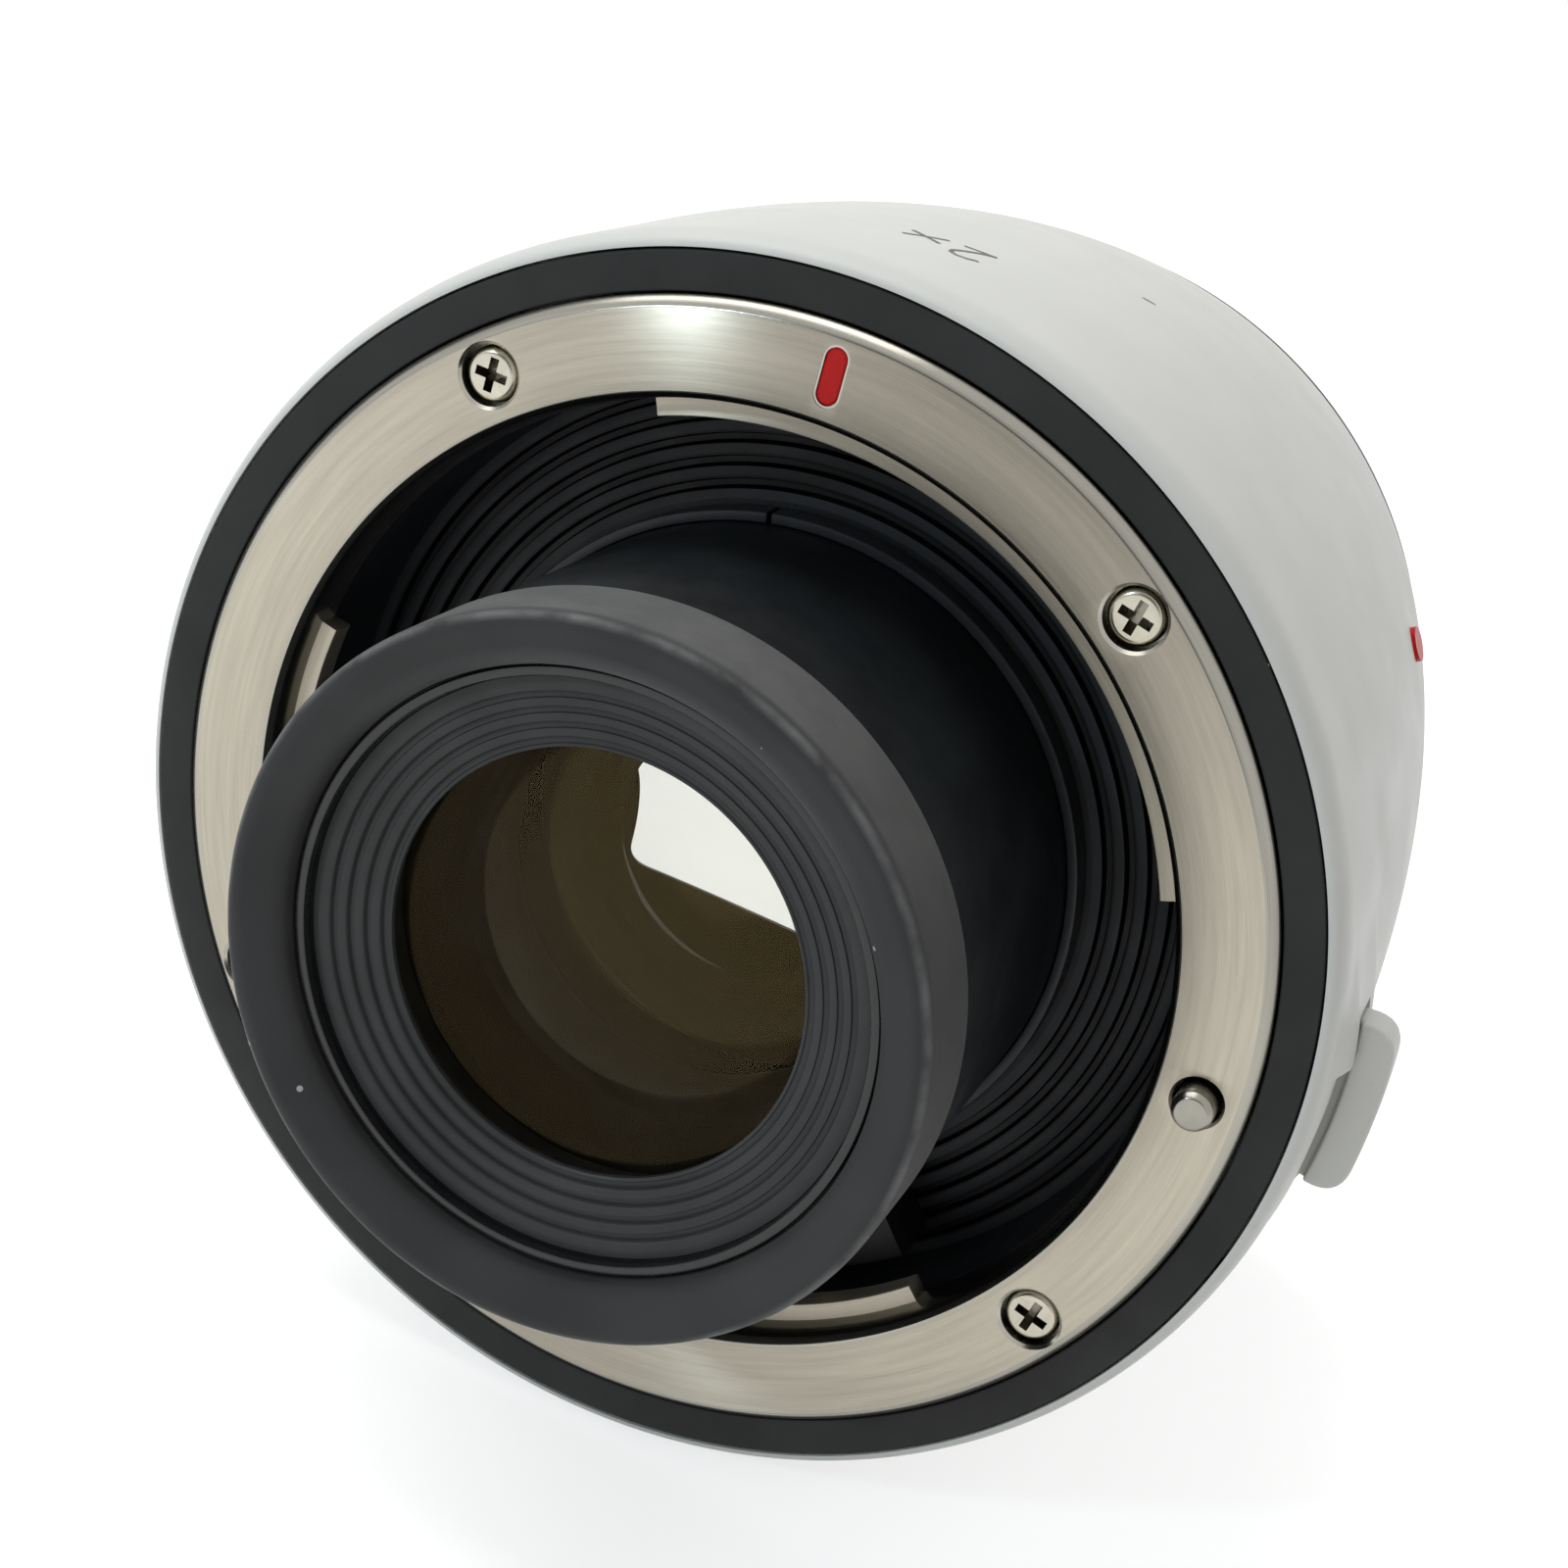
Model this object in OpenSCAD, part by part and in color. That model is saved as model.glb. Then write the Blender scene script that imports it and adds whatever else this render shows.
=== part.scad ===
// Two times camera teleconverter with a female bayonet in front and a male bayonet behind.
// Every module is drawn round the optical axis with the front towards +z and the rear seat at z = 0.
// lay() then turns the part so that the axis is level, the front faces -Y and the index mark is on top.
// Clock angles are clockwise from the index mark, seen from the front.

/* [Body] */
// Distance from the rear seat to the front seat
length = 57; // [50:0.5:66]
// Largest diameter of the white body
body_d = 71.8; // [64:0.2:82]
// How much the body's radius shrinks towards the rear mount
taper_drop = 4.1; // [3.5:0.1:4.3]
// Distance from the front seat to where the rear taper starts
taper_from = 13; // [11:0.5:16]
// Wall round the mechanism chamber
chamber_wall = 2.6; // [2.2:0.1:2.9]
// Width of the rounding on the front rim, seen from the front
rim_round = 0.9; // [0.6:0.1:1.1]
// Length of the rounding on the front rim, along the axis
rim_round_z = 2.2; // [1.5:0.1:2.4]
// Height of the fairing round the release lever
fairing_h = 0.8; // [0.4:0.1:1.4]

/* [Front mount] */
// Width of the black trim ring
trim_w = 2.2; // [1.9:0.1:2.5]
// Width of the steel ring from its outside to the throat
seat_w = 5.6; // [5.2:0.1:6.4]
// Thickness of the steel mount ring
ring_t = 3.2; // [3:0.1:3.6]
// How far the bayonet tabs reach into the throat
tab_reach = 1; // [0.6:0.1:1.3]
// Depth of the tabs below the seat
tab_depth = 2; // [1.8:0.1:2.2]
// Thickness of the tabs
tab_t = 1.6; // [1.2:0.1:1.8]
// Depth of the black trim ring's face below the seat
trim_drop = 0.6; // [0.4:0.1:0.9]
// Thickness of the black trim ring
trim_t = 2; // [1.6:0.1:2.2]
// Depth of the ribbed throat floor below the seat
throat_depth = 10.4; // [10:0.1:11]
// Radius of a mount screw's head
screw_head_r = 1.55; // [1.4:0.05:1.7]

/* [Lock] */
// Clock angle of the lock pin
pin_a = 89.5; // [88:0.5:91]
// Radius of the lock pin's tip
pin_r = 1.15; // [1.05:0.05:1.25]
// Radius of the lock pin's shaft
pin_shaft_r = 0.8; // [0.7:0.05:0.85]
// How far the lock pin stands out of the seat
pin_out = 1.5; // [1.2:0.1:1.7]
// How far the lock pin draws back
pin_travel = 2; // [1.8:0.1:2.2]
// Clock angle of the release lever's upper end
lever_a1 = 81.3; // [80.5:0.1:82]
// Clock angle of the release lever's lower end
lever_a2 = 97; // [96:0.1:98]
// Angle that the release lever swings
lever_swing = 4.5; // [4:0.1:5]
// How far the release lever stands out of the body
lever_proud = 2.65; // [2.2:0.05:3]
// Radial width of the groove between the body's edge and the lever's raised tab
lever_groove = 0.55; // [0.4:0.05:0.7]
// Depth of that groove
groove_t = 0.5; // [0.3:0.1:0.6]
// Width of the release lever along the axis
lever_w = 2.5; // [2.2:0.1:2.8]

/* [Lens barrel] */
// How far the rubber bumper stands out of the front seat
nose = 16.3; // [16:0.1:18]
// Room between the throat and the lens barrel
throat_room = 7.9; // [7.2:0.1:8.6]
// How far the rubber bumper stands proud of the lens barrel
bumper_proud = 0.35; // [0.25:0.05:0.6]
// Length of the rubber bumper
bumper_l = 6.2; // [5.6:0.1:6.6]
// Width of the bumper's front face
bumper_w = 3.15; // [2.9:0.05:3.5]
// Width of the ridged funnel
funnel_w = 4.05; // [3.6:0.05:4.5]
// Number of ridges round the front lens opening
ridges = 4; // [3:1:5]
// Number of grooves in the throat floor
grooves = 5; // [3:1:5]
// Step from the funnel's outside in to the lens bore
bezel_step = 2.2; // [2:0.1:2.5]
// How much larger the rear lens elements are in radius
rear_step = 2; // [1.7:0.1:2.3]

/* [Contacts] */
// Number of sprung contact pins
contacts = 10; // [10:1:10]
// Angle between two contact pins
contact_pitch = 6.4; // [6:0.1:6.8]
// Radius of a contact pin
contact_r = 0.5; // [0.45:0.05:0.6]
// How far a contact pin travels
contact_travel = 1; // [0.8:0.1:1.1]

/* [Rear mount] */
// Width of the rubber seal round the rear flange
seal_w = 0.5; // [0.45:0.05:0.6]
// Thickness of the steel rear flange
flange_t = 2; // [1.8:0.1:2.4]
// Radial clearance of the rear collar in a camera's throat
collar_room = 1.3; // [1.1:0.1:1.5]
// Radial clearance of the rear tabs in a camera's throat
rear_tab_room = 0.2; // [0.15:0.05:0.4]
// How far the rear collar stands out of the seat
collar_l = 5.2; // [4.8:0.1:5.6]
// Width of the rear light window
window_w = 23.3; // [21:0.1:25]
// Height of the rear light window
window_h = 19.5; // [18:0.1:20]

/* [Clearances] */
// Radial running clearance of pins and slides
run_gap = 0.05; // [0.03:0.01:0.08]
// Gap between pieces that seat without sliding
seat_gap = 0.03; // [0.02:0.01:0.05]
// Visible gap round the trim ring
trim_gap = 0.1; // [0.08:0.01:0.15]
// Clearance between moving and fixed pieces that don't guide each other
free_gap = 0.3; // [0.25:0.05:0.4]

/* [Hidden] */
$fn = 96;
body_r = body_d / 2;
rear_r = body_r - taper_drop;
rim_ir = body_r - rim_round;
ring_r = rim_ir - trim_w - 2 * trim_gap;
throat_r = ring_r - seat_w;
barrel_r = throat_r - throat_room;
bumper_r = barrel_r + bumper_proud;
rim_r = bumper_r - bumper_w;
bezel_r = rim_r - 0.6;
opening_r = bezel_r - funnel_w;
front_h = bezel_r - bezel_step;
rear_h = front_h + rear_step;
collar_r = throat_r - collar_room;
rear_tab_r = throat_r - rear_tab_room;
flange_r = rear_r - seal_w;
screw_ring_r = throat_r + seat_w * 0.554;
pin_ring_r = throat_r + seat_w * 0.518;
contact_ring_r = barrel_r + throat_room * 0.557;
lever_r = body_r + lever_proud;
taper_z = length - taper_from;

// Heights of the front end
ring_back = length - ring_t;
trim_top = length - trim_drop;
trim_floor = trim_top - trim_t;
shoulder_t = 1.8;
chamber_top = ring_back - shoulder_t;
chamber_r = body_r - chamber_wall;
shoulder_r = throat_r + 1.4;
throat_floor = length - throat_depth;
floor_t = 1.5;
step_z = throat_floor - floor_t;
baffle_r = throat_r + 0.9;
baffle_wall = 0.7;

// Heights of the lens barrel's front end
nose_z = length + nose;
bumper_z = nose_z - bumper_l;
neck_z = nose_z - 2.7;
neck_r = bumper_r - 2.05;
lip_z = neck_z - 1.15;

// Lens elements from front to rear: front radius, rear radius, thickness, distance to the element before
cement = 0.03;
glass = [
    [-136, 170, 4.2, 0], [-316, 40, 1.8, 5.2], [40, -45, 7.5, cement], [-45, 35, 1.8, cement],
    [-98.5, 131, 4.2, 4.74], [109, 80, 2, 2.8], [80, -23.8, 9, cement], [91.3, -60, 4.5, 0.27],
    [-60, 279, 1.8, cement]
];
// Half widths that the radii are drawn for; at another width a face keeps the depth of its curve
glass_h = [13.5, 15.5];
function lens_h(i) = i < 5 ? front_h : rear_h;
function edge_sag(i, k) = sag(glass_h[i < 5 ? 0 : 1], glass[i][k]);
function curve(i, k) = (pow(lens_h(i), 2) + pow(edge_sag(i, k), 2)) / (2 * edge_sag(i, k));
function lens_front(i) = i == 0 ? lip_z - 1.7 : lens_rear(i - 1) - glass[i][3];
function lens_rear(i) = lens_front(i) - glass[i][2];
function sag(r, c) = c - sign(c) * sqrt(c * c - r * r);
function front_face(i, r) = lens_front(i) - sag(r, curve(i, 0));
function rear_face(i, r) = lens_rear(i) - sag(r, curve(i, 1));
spacer_w = 0.9;
function spacer_top(i) = min(rear_face(i, lens_h(i)), rear_face(i, lens_h(i) - spacer_w)) - seat_gap;
function spacer_low(i) = max(front_face(i, lens_h(i)), front_face(i, lens_h(i) - spacer_w)) + seat_gap;
bore_gap = 0.05;
stop_r = front_h - 1.2;
stop_top = min(rear_face(4, front_h), rear_face(4, stop_r)) - seat_gap;
stop_low = max(front_face(5, rear_h), front_face(5, stop_r)) + seat_gap;
cell_r = rear_h + 3;
cell_low = rear_face(8, rear_h) - 3.2;
spigot_r = rear_h + 1.5;

// Heights of the optical core, which hangs from the front seat
core_z = stop_low - 1.28;
core_flange_t = 2;
core_top = core_z + core_flange_t;
ledge_w = 2.8;
ledge_r = chamber_r - ledge_w;
step_r = barrel_r + 1.5;

// Rear heights
rear_bore_r = collar_r - 0.2;
rear_deck = flange_t + 6;
taper_rise = taper_z - flange_t;
taper_bend = (taper_rise * taper_rise + taper_drop * taper_drop) / (2 * taper_drop);
function taper_r(z) = body_r - (taper_bend - sqrt(taper_bend * taper_bend - pow(taper_z - z, 2)));

// Lock heights
lever_top = chamber_top - 0.8;
lever_low = lever_top - lever_w;
slide_gap = 0.1;
carrier_t = 1.2;
carrier_top = chamber_top - slide_gap;
carrier_low = carrier_top - carrier_t;
carrier_ir = shoulder_r;
carrier_or = chamber_r - free_gap;
guide_a1 = pin_a - 17.5;
guide_a2 = pin_a + 17;
carrier_a1 = guide_a1 - 9.7;
carrier_a2 = guide_a2 + 5.5;
guide_ring_r = pin_ring_r + 1.1;
guide_screw_r = 0.9;
pin_collar_r = pin_shaft_r + 0.7;
pin_collar_t = 0.8;
pin_collar_top = lever_low - 2.1;
pin_step = carrier_top + pin_travel + free_gap;
guide_block_top = pin_collar_top - pin_collar_t - 3.6;
pin_low = guide_block_top - 1.6;
pin_slot = pin_shaft_r + 0.15;
swing_arc = pin_ring_r * lever_swing * PI / 180;
cam_slope = pin_travel / swing_arc;
cam_z = pin_collar_top + slide_gap + cam_slope * pin_collar_r;
foot_r = pin_ring_r + pin_collar_r + 0.15;

// Contact heights
block_top = throat_floor + 4.6;
contact_bore_r = contact_r + 0.35;
contact_shoulder = block_top - 0.8;
contact_collar_t = 0.75;
contact_out = 1.2;

// Placing helpers
module lay() { rotate([90, 0, 0]) children(); }
module at_clock(a) { rotate([0, 0, -a]) children(); }
module at_ring(a, r, z) { at_clock(a) translate([0, r, z]) children(); }

// A block of ring between two clock angles
module sector(a1, a2, r1, r2, z1, z2) {
    rotate([0, 0, 90 - a2])
        rotate_extrude(angle = a2 - a1)
            translate([r1, z1]) square([r2 - r1, z2 - z1]);
}

module ring(r1, r2, z1, z2) {
    rotate_extrude() translate([r1, z1]) square([r2 - r1, z2 - z1]);
}

// A cross-head screw whose head sits on z = 0 and whose shank points down
module screw(head_r, head_t, shank_r, shank_l) {
    difference() {
        union() {
            rotate_extrude()
                polygon([[0, 0], [head_r, 0], [head_r, head_t * 0.55], [head_r * 0.75, head_t], [0, head_t]]);
            translate([0, 0, -shank_l]) cylinder(r = shank_r, h = shank_l + 0.1);
        }
        for (a = [45, 135])
            rotate([0, 0, a])
                translate([-head_r * 0.62, -head_r * 0.16, head_t * 0.35])
                    cube([head_r * 1.24, head_r * 0.32, head_t]);
    }
}

// A coil spring standing on z = 0: one unbroken tube, worked out turn by turn
module coil(mean_r, wire_r, height, turns) {
    rings = 8;
    sides = 6;
    n = turns * rings;
    rise = (height - 2 * wire_r) / n;
    function ring_point(i, k) =
        let (a = 360 * i / rings, b = 360 * k / sides, r = mean_r + wire_r * cos(b))
        [r * cos(a), r * sin(a), wire_r + rise * i + wire_r * sin(b)];
    points = [for (i = [0:n]) for (k = [0:sides - 1]) ring_point(i, k)];
    skin = [for (i = [0:n - 1]) for (k = [0:sides - 1]) for (h = [0, 1])
        let (a = i * sides + k, b = i * sides + (k + 1) % sides)
        h == 0 ? [a, b, b + sides] : [a, b + sides, a + sides]];
    caps = [for (k = [1:sides - 2]) for (e = [0, n * sides])
        e == 0 ? [0, k + 1, k] : [e, e + k, e + k + 1]];
    polyhedron(points = points, faces = concat(skin, caps));
}
lock_spring_turns = 4.5;
lock_spring_h = pin_collar_top - pin_collar_t - guide_block_top - 2 * seat_gap;
lock_wire_r = 0.14;
contact_spring_h = contact_shoulder - run_gap - contact_collar_t - throat_floor - 2 * seat_gap;
contact_turns = 4;
contact_wire_r = 0.09;
echo(lock_spring_gap = (lock_spring_h - 2 * lock_wire_r) / lock_spring_turns - 2 * lock_wire_r);
echo(contact_spring_gap = (contact_spring_h - 2 * contact_wire_r) / contact_turns - 2 * contact_wire_r);

// Body

front_screw_angles = [-38.2, 38.3, 122, -122];
boss_r = 2;
screw_shank_r = 1;
screw_seat = length - 1.75;
screw_l = 7;
core_screw_angles = [30, 150, 270];
core_screw_ring = chamber_r - 1.6;
rear_screw_angles = [20, 110, 200, 290];
rear_screw_ring = (collar_r + flange_r) / 2;
rear_screw_seat = 1.4;
rear_dot_a = 59.5;
rear_dot_z = 20.7;
rear_dot_r = 1.1;
fairing_shift = 15.6;

module body_outline() {
    steps = 14;
    rim_steps = 6;
    polygon(concat(
        [[0, flange_t]],
        [for (i = [0:steps]) let (z = flange_t + taper_rise * i / steps) [taper_r(z), z]],
        [for (i = [0:rim_steps]) let (a = 90 * i / rim_steps)
            [rim_ir + rim_round * cos(a), trim_top - rim_round_z + rim_round_z * sin(a)]],
        [[0, trim_top]]));
}

// The fairing is a slightly off-centre drum that fades into the body on both sides of the lever
module fairing() {
    r = body_r + fairing_h - fairing_shift;
    at_ring((lever_a1 + lever_a2) / 2, fairing_shift, 0)
        rotate_extrude()
            polygon([[0, lever_low - 9], [r - 1.2, lever_low - 9], [r, lever_low - 2], [r, lever_top + 1.2],
                [r - 1.1, trim_top - 0.6], [0, trim_top - 0.6]]);
}

module body_hollow() {
    ring_bore = ring_r + trim_gap;
    rotate_extrude()
        polygon([[0, 0], [rear_bore_r, 0], [rear_bore_r, rear_deck],
            [ledge_r, rear_deck + 11], [ledge_r, core_z], [chamber_r, core_z], [chamber_r, chamber_top],
            [shoulder_r, chamber_top], [shoulder_r, ring_back], [ring_bore, ring_back],
            [ring_bore, trim_floor], [rim_ir, trim_floor], [rim_ir, length + 1], [0, length + 1]]);
}

module main_barrel() {
    color("whitesmoke")
    difference() {
        union() {
            difference() {
                union() {
                    rotate_extrude() body_outline();
                    fairing();
                }
                body_hollow();
            }
            for (a = front_screw_angles)
                at_ring(a, screw_ring_r, chamber_top - 5) cylinder(r = boss_r, h = 5 + shoulder_t);
        }
        for (a = front_screw_angles)
            at_ring(a, screw_ring_r, screw_seat - screw_l - 0.3)
                cylinder(r = screw_shank_r + seat_gap, h = screw_l);
        sector(lever_a1 - 0.7, lever_a2 + lever_swing + 0.7, chamber_r - 1, body_r + 8,
            lever_low - 0.5, lever_top + 0.4);
        sector(lever_a1 + 3.5, lever_a2 + lever_swing + 0.7, body_r + 0.1, body_r + 8, lever_top, length);
        at_ring(pin_a, pin_ring_r, chamber_top - 1) cylinder(r = pin_r + free_gap, h = shoulder_t + 2);
        for (a = [guide_a1, guide_a2])
            at_ring(a, guide_ring_r, chamber_top - 1) cylinder(r = guide_screw_r - 0.2 + seat_gap, h = shoulder_t + 2);
        for (a = core_screw_angles)
            at_ring(a, core_screw_ring, core_z - 5) cylinder(r = 0.8 + seat_gap, h = 6);
        for (a = rear_screw_angles)
            at_ring(a, rear_screw_ring, 0) cylinder(r = screw_shank_r + seat_gap, h = rear_deck - 0.5);
        at_ring(rear_dot_a, 0, rear_dot_z) rotate([-90, 0, 0])
            translate([0, 0, taper_r(rear_dot_z) - 0.4]) cylinder(r = rear_dot_r + seat_gap, h = 2);
    }
}

module rear_index_mark() {
    color("crimson")
    at_ring(rear_dot_a, 0, rear_dot_z) rotate([-90, 0, 0])
        translate([0, 0, taper_r(rear_dot_z) - 0.4]) cylinder(r = rear_dot_r, h = 0.45);
}

module front_trim_ring() {
    color([0.13, 0.13, 0.13])
    ring(ring_r + trim_gap, rim_ir - trim_gap, trim_floor, trim_top);
}

// Front mount

tab_angles = [[-21.2, 69.2], [135.4, 180], [-122, -77.7]];
index_r1 = throat_r + 1.6;
index_r2 = ring_r - 1.3;
index_w = 1.4;
index_deep = 0.4;

module index_outline() {
    translate([-index_w / 2, index_r1 + index_w / 2]) square([index_w, index_r2 - index_r1 - index_w]);
    for (r = [index_r1 + index_w / 2, index_r2 - index_w / 2]) translate([0, r]) circle(r = index_w / 2);
}

module front_mount_ring() {
    chamfer = 0.6;
    tab_z = length - tab_depth;
    color("lightgray")
    difference() {
        union() {
            rotate_extrude()
                polygon([[throat_r, ring_back], [ring_r, ring_back], [ring_r, length - chamfer],
                    [ring_r - chamfer, length], [throat_r + 0.6, length], [throat_r + 0.3, length - 0.35],
                    [throat_r, tab_z]]);
            for (t = tab_angles) sector(t[0], t[1], throat_r - tab_reach, throat_r + 0.2, tab_z - tab_t, tab_z);
        }
        for (a = front_screw_angles) at_ring(a, screw_ring_r, 0) {
            translate([0, 0, ring_back - 1]) cylinder(r = screw_shank_r + 0.15, h = ring_t + 2);
            translate([0, 0, screw_seat]) cylinder(r = screw_head_r + 0.3, h = ring_t);
            translate([0, 0, length - 0.2])
                cylinder(r1 = screw_head_r + 0.3, r2 = screw_head_r + 0.6, h = 0.3);
        }
        at_ring(pin_a, pin_ring_r, ring_back - 1) cylinder(r = pin_r + run_gap, h = ring_t + 2);
        at_ring(pin_a, pin_ring_r, length - 0.4) cylinder(r = pin_r + 0.3, h = 1);
        translate([0, 0, length - index_deep]) linear_extrude(index_deep + 1) index_outline();
    }
}

module front_index_mark() {
    color("crimson")
    translate([0, 0, length - index_deep]) linear_extrude(index_deep - 0.06) index_outline();
}

module bayonet_leaf_springs() {
    low = length - tab_depth - tab_t;
    color("silver")
    for (t = tab_angles) sector(t[0] + 4, t[1] - 4, throat_r - tab_reach + 0.2, throat_r - 0.1, low - 0.4, low);
}

module front_mount_screws() {
    color("silver")
    for (a = front_screw_angles)
        at_ring(a, screw_ring_r, screw_seat) screw(screw_head_r, 1.1, screw_shank_r, screw_l - 0.3);
}

// Lock mechanism

module lock_pin() {
    tip = length + pin_out;
    color("silver")
    at_ring(pin_a, pin_ring_r, 0)
        rotate_extrude()
            polygon([[0, pin_low], [pin_shaft_r, pin_low], [pin_shaft_r, pin_collar_top - pin_collar_t],
                [pin_collar_r, pin_collar_top - pin_collar_t], [pin_collar_r, pin_collar_top],
                [pin_shaft_r, pin_collar_top], [pin_shaft_r, pin_step], [pin_r, pin_step],
                [pin_r, tip - 0.35], [pin_r - 0.3, tip], [0, tip]]);
}

module lock_pin_spring() {
    color("darkgray")
    at_ring(pin_a, pin_ring_r, guide_block_top + seat_gap)
        coil(pin_shaft_r + 0.4, lock_wire_r, lock_spring_h, lock_spring_turns);
}

guide_half = 13;
guide_screw_a = 9.8;
module lock_pin_guide() {
    color("goldenrod")
    difference() {
        union() {
            sector(pin_a - guide_half, pin_a + guide_half, shoulder_r, carrier_or - 0.4, core_top, core_top + 1.3);
            sector(pin_a - 6, pin_a + 6, shoulder_r + 0.2, carrier_or - 0.6, core_top + 0.5, guide_block_top);
        }
        at_ring(pin_a, pin_ring_r, core_top - 1)
            cylinder(r = pin_shaft_r + run_gap, h = guide_block_top - core_top + 2);
        for (s = [-1, 1])
            at_ring(pin_a + s * guide_screw_a, pin_ring_r, core_top - 1) cylinder(r = 0.85, h = 4);
    }
}

module guide_screws() {
    color("silver")
    for (s = [-1, 1])
        at_ring(pin_a + s * guide_screw_a, pin_ring_r, core_top + 1.3) screw(1.3, 0.8, 0.8, 2.8);
}

// A round-cornered tab, its neck through the slot and a foot under the carrier
module release_lever() {
    round_r = 1.1;
    neck_r1 = carrier_or + 0.1;
    color("whitesmoke")
    difference() {
        union() {
            translate([0, 0, lever_low]) linear_extrude(lever_w)
                offset(r = round_r, $fn = 32) offset(delta = -round_r)
                    projection(cut = false) sector(lever_a1, lever_a2, neck_r1, lever_r, 0, 1);
            sector(lever_a1, lever_a2, neck_r1, body_r - 0.2, lever_low, lever_top);
            sector(lever_a1, lever_a2, foot_r, neck_r1 + 0.1, lever_low, carrier_low);
        }
        translate([0, 0, lever_top - groove_t]) cylinder(r = body_r + lever_groove, h = groove_t + 1);
        for (a = lever_screw_angles)
            at_ring(a, lever_screw_ring, lever_low - 1) cylinder(r = 0.5 + seat_gap, h = lever_w + 2);
    }
}

lever_screw_angles = [for (k = [0.191, 0.809]) lever_a1 + k * (lever_a2 - lever_a1)];
lever_screw_ring = (foot_r + carrier_or) / 2;

module lever_carrier() {
    low_s = -(pin_collar_r + swing_arc + 0.6);
    high_s = (carrier_low - cam_z) / cam_slope;
    color("gray")
    difference() {
        union() {
            sector(carrier_a1, carrier_a2, carrier_ir, carrier_or, carrier_low, carrier_top);
            intersection() {
                at_clock(pin_a)
                    translate([0, pin_ring_r + pin_collar_r, 0]) rotate([90, 0, 0])
                        linear_extrude(2 * pin_collar_r)
                            polygon([[low_s, cam_z + cam_slope * low_s], [high_s, carrier_low],
                                [high_s, carrier_low + 0.3], [low_s, carrier_low + 0.3]]);
                cylinder(r = pin_ring_r + pin_collar_r, h = length);
            }
        }
        sector(pin_a - lever_swing - 2.2, pin_a + 2.2, pin_ring_r - pin_slot, pin_ring_r + pin_slot,
            lever_low - 12, carrier_top + 1);
        for (a = [guide_a1, guide_a2])
            sector(a - lever_swing - 2.1, a + 2.1, guide_ring_r - guide_screw_r - run_gap,
                guide_ring_r + guide_screw_r + run_gap, carrier_low - 1, carrier_top + 1);
        for (a = lever_screw_angles)
            at_ring(a, lever_screw_ring, carrier_low - 1) cylinder(r = 0.5 + seat_gap, h = carrier_t + 2);
    }
}

module lever_screws() {
    color("silver")
    for (a = lever_screw_angles)
        at_ring(a, lever_screw_ring, lever_low) rotate([180, 0, 0])
            screw(0.72, 0.5, 0.5, carrier_top - lever_low - 0.2);
}

// Shoulder screws that carry the lever carrier under the mount shoulder
module carrier_screws() {
    color("silver")
    for (a = [guide_a1, guide_a2]) at_ring(a, guide_ring_r, carrier_low - slide_gap) {
        rotate([180, 0, 0]) screw(1.6, 0.8, guide_screw_r, chamber_top - carrier_low + slide_gap);
        cylinder(r = guide_screw_r - 0.2, h = chamber_top - carrier_low + slide_gap + shoulder_t - 0.2);
    }
}

// Throat

base_ring_w = 0.65;
block_a = 41;
block_r1 = contact_ring_r - 2.1;
block_r2 = contact_ring_r + 2.1;
flex_t = 0.2;
front_flex_r = contact_ring_r + 1.5;

module throat_baffle() {
    inner = barrel_r + run_gap;
    first = inner + base_ring_w + 0.9;
    pitch = (baffle_r - baffle_wall - first) / grooves;
    color([0.07, 0.07, 0.08])
    difference() {
        rotate_extrude()
            polygon(concat(
                [[inner, step_z], [baffle_r, step_z], [baffle_r, ring_back - seat_gap],
                    [baffle_r - baffle_wall, ring_back - seat_gap], [baffle_r - baffle_wall, throat_floor]],
                [for (i = [grooves - 1:-1:0]) for (k = [0:3])
                    let (r = first + pitch * i)
                    [[r + pitch * 0.45, throat_floor], [r + pitch * 0.35, throat_floor - 0.6],
                        [r + pitch * 0.1, throat_floor - 0.6], [r, throat_floor]][k]],
                [[inner, throat_floor]]));
        sector(168, 192, front_flex_r - 0.5, front_flex_r + 0.5, step_z - 1, throat_floor + 1);
    }
}

module barrel_base_ring() {
    inner = barrel_r + run_gap;
    color([0.25, 0.26, 0.28])
    difference() {
        ring(inner, inner + base_ring_w, throat_floor, throat_floor + 1.8);
        sector(-12.5, -11.5, inner - 1, inner + base_ring_w + 1, throat_floor - 1, throat_floor + 3);
    }
}

function contact_angle(i) = 180 + contact_pitch * (i - (contacts + 1) / 2);

module front_contact_block() {
    color([0.09, 0.09, 0.1])
    difference() {
        sector(180 - block_a, 180 + block_a, block_r1, block_r2, throat_floor, block_top);
        for (i = [1:contacts]) at_ring(contact_angle(i), contact_ring_r, 0) {
            translate([0, 0, throat_floor - 1]) cylinder(r = contact_r + run_gap, h = 8);
            translate([0, 0, throat_floor - 1]) cylinder(r = contact_bore_r, h = contact_shoulder - throat_floor + 1);
        }
    }
}

module contact_pin(i) {
    top = contact_shoulder - run_gap;
    low = top - contact_collar_t;
    tip = block_top + contact_out;
    color("gold")
    at_ring(contact_angle(i), contact_ring_r, 0)
        rotate_extrude()
            polygon([[0, low - 1.4], [contact_r - 0.2, low - 1.4], [contact_r - 0.2, low],
                [contact_bore_r - 0.1, low], [contact_bore_r - 0.1, top], [contact_r, top],
                [contact_r, tip - 0.3], [contact_r - 0.2, tip - 0.06], [contact_r - 0.35, tip], [0, tip]]);
}

module contact_springs() {
    color("darkgray")
    for (i = [1:contacts])
        at_ring(contact_angle(i), contact_ring_r, throat_floor + seat_gap)
            coil(contact_r + 0.06, contact_wire_r, contact_spring_h, contact_turns);
}

// Electronics

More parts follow.
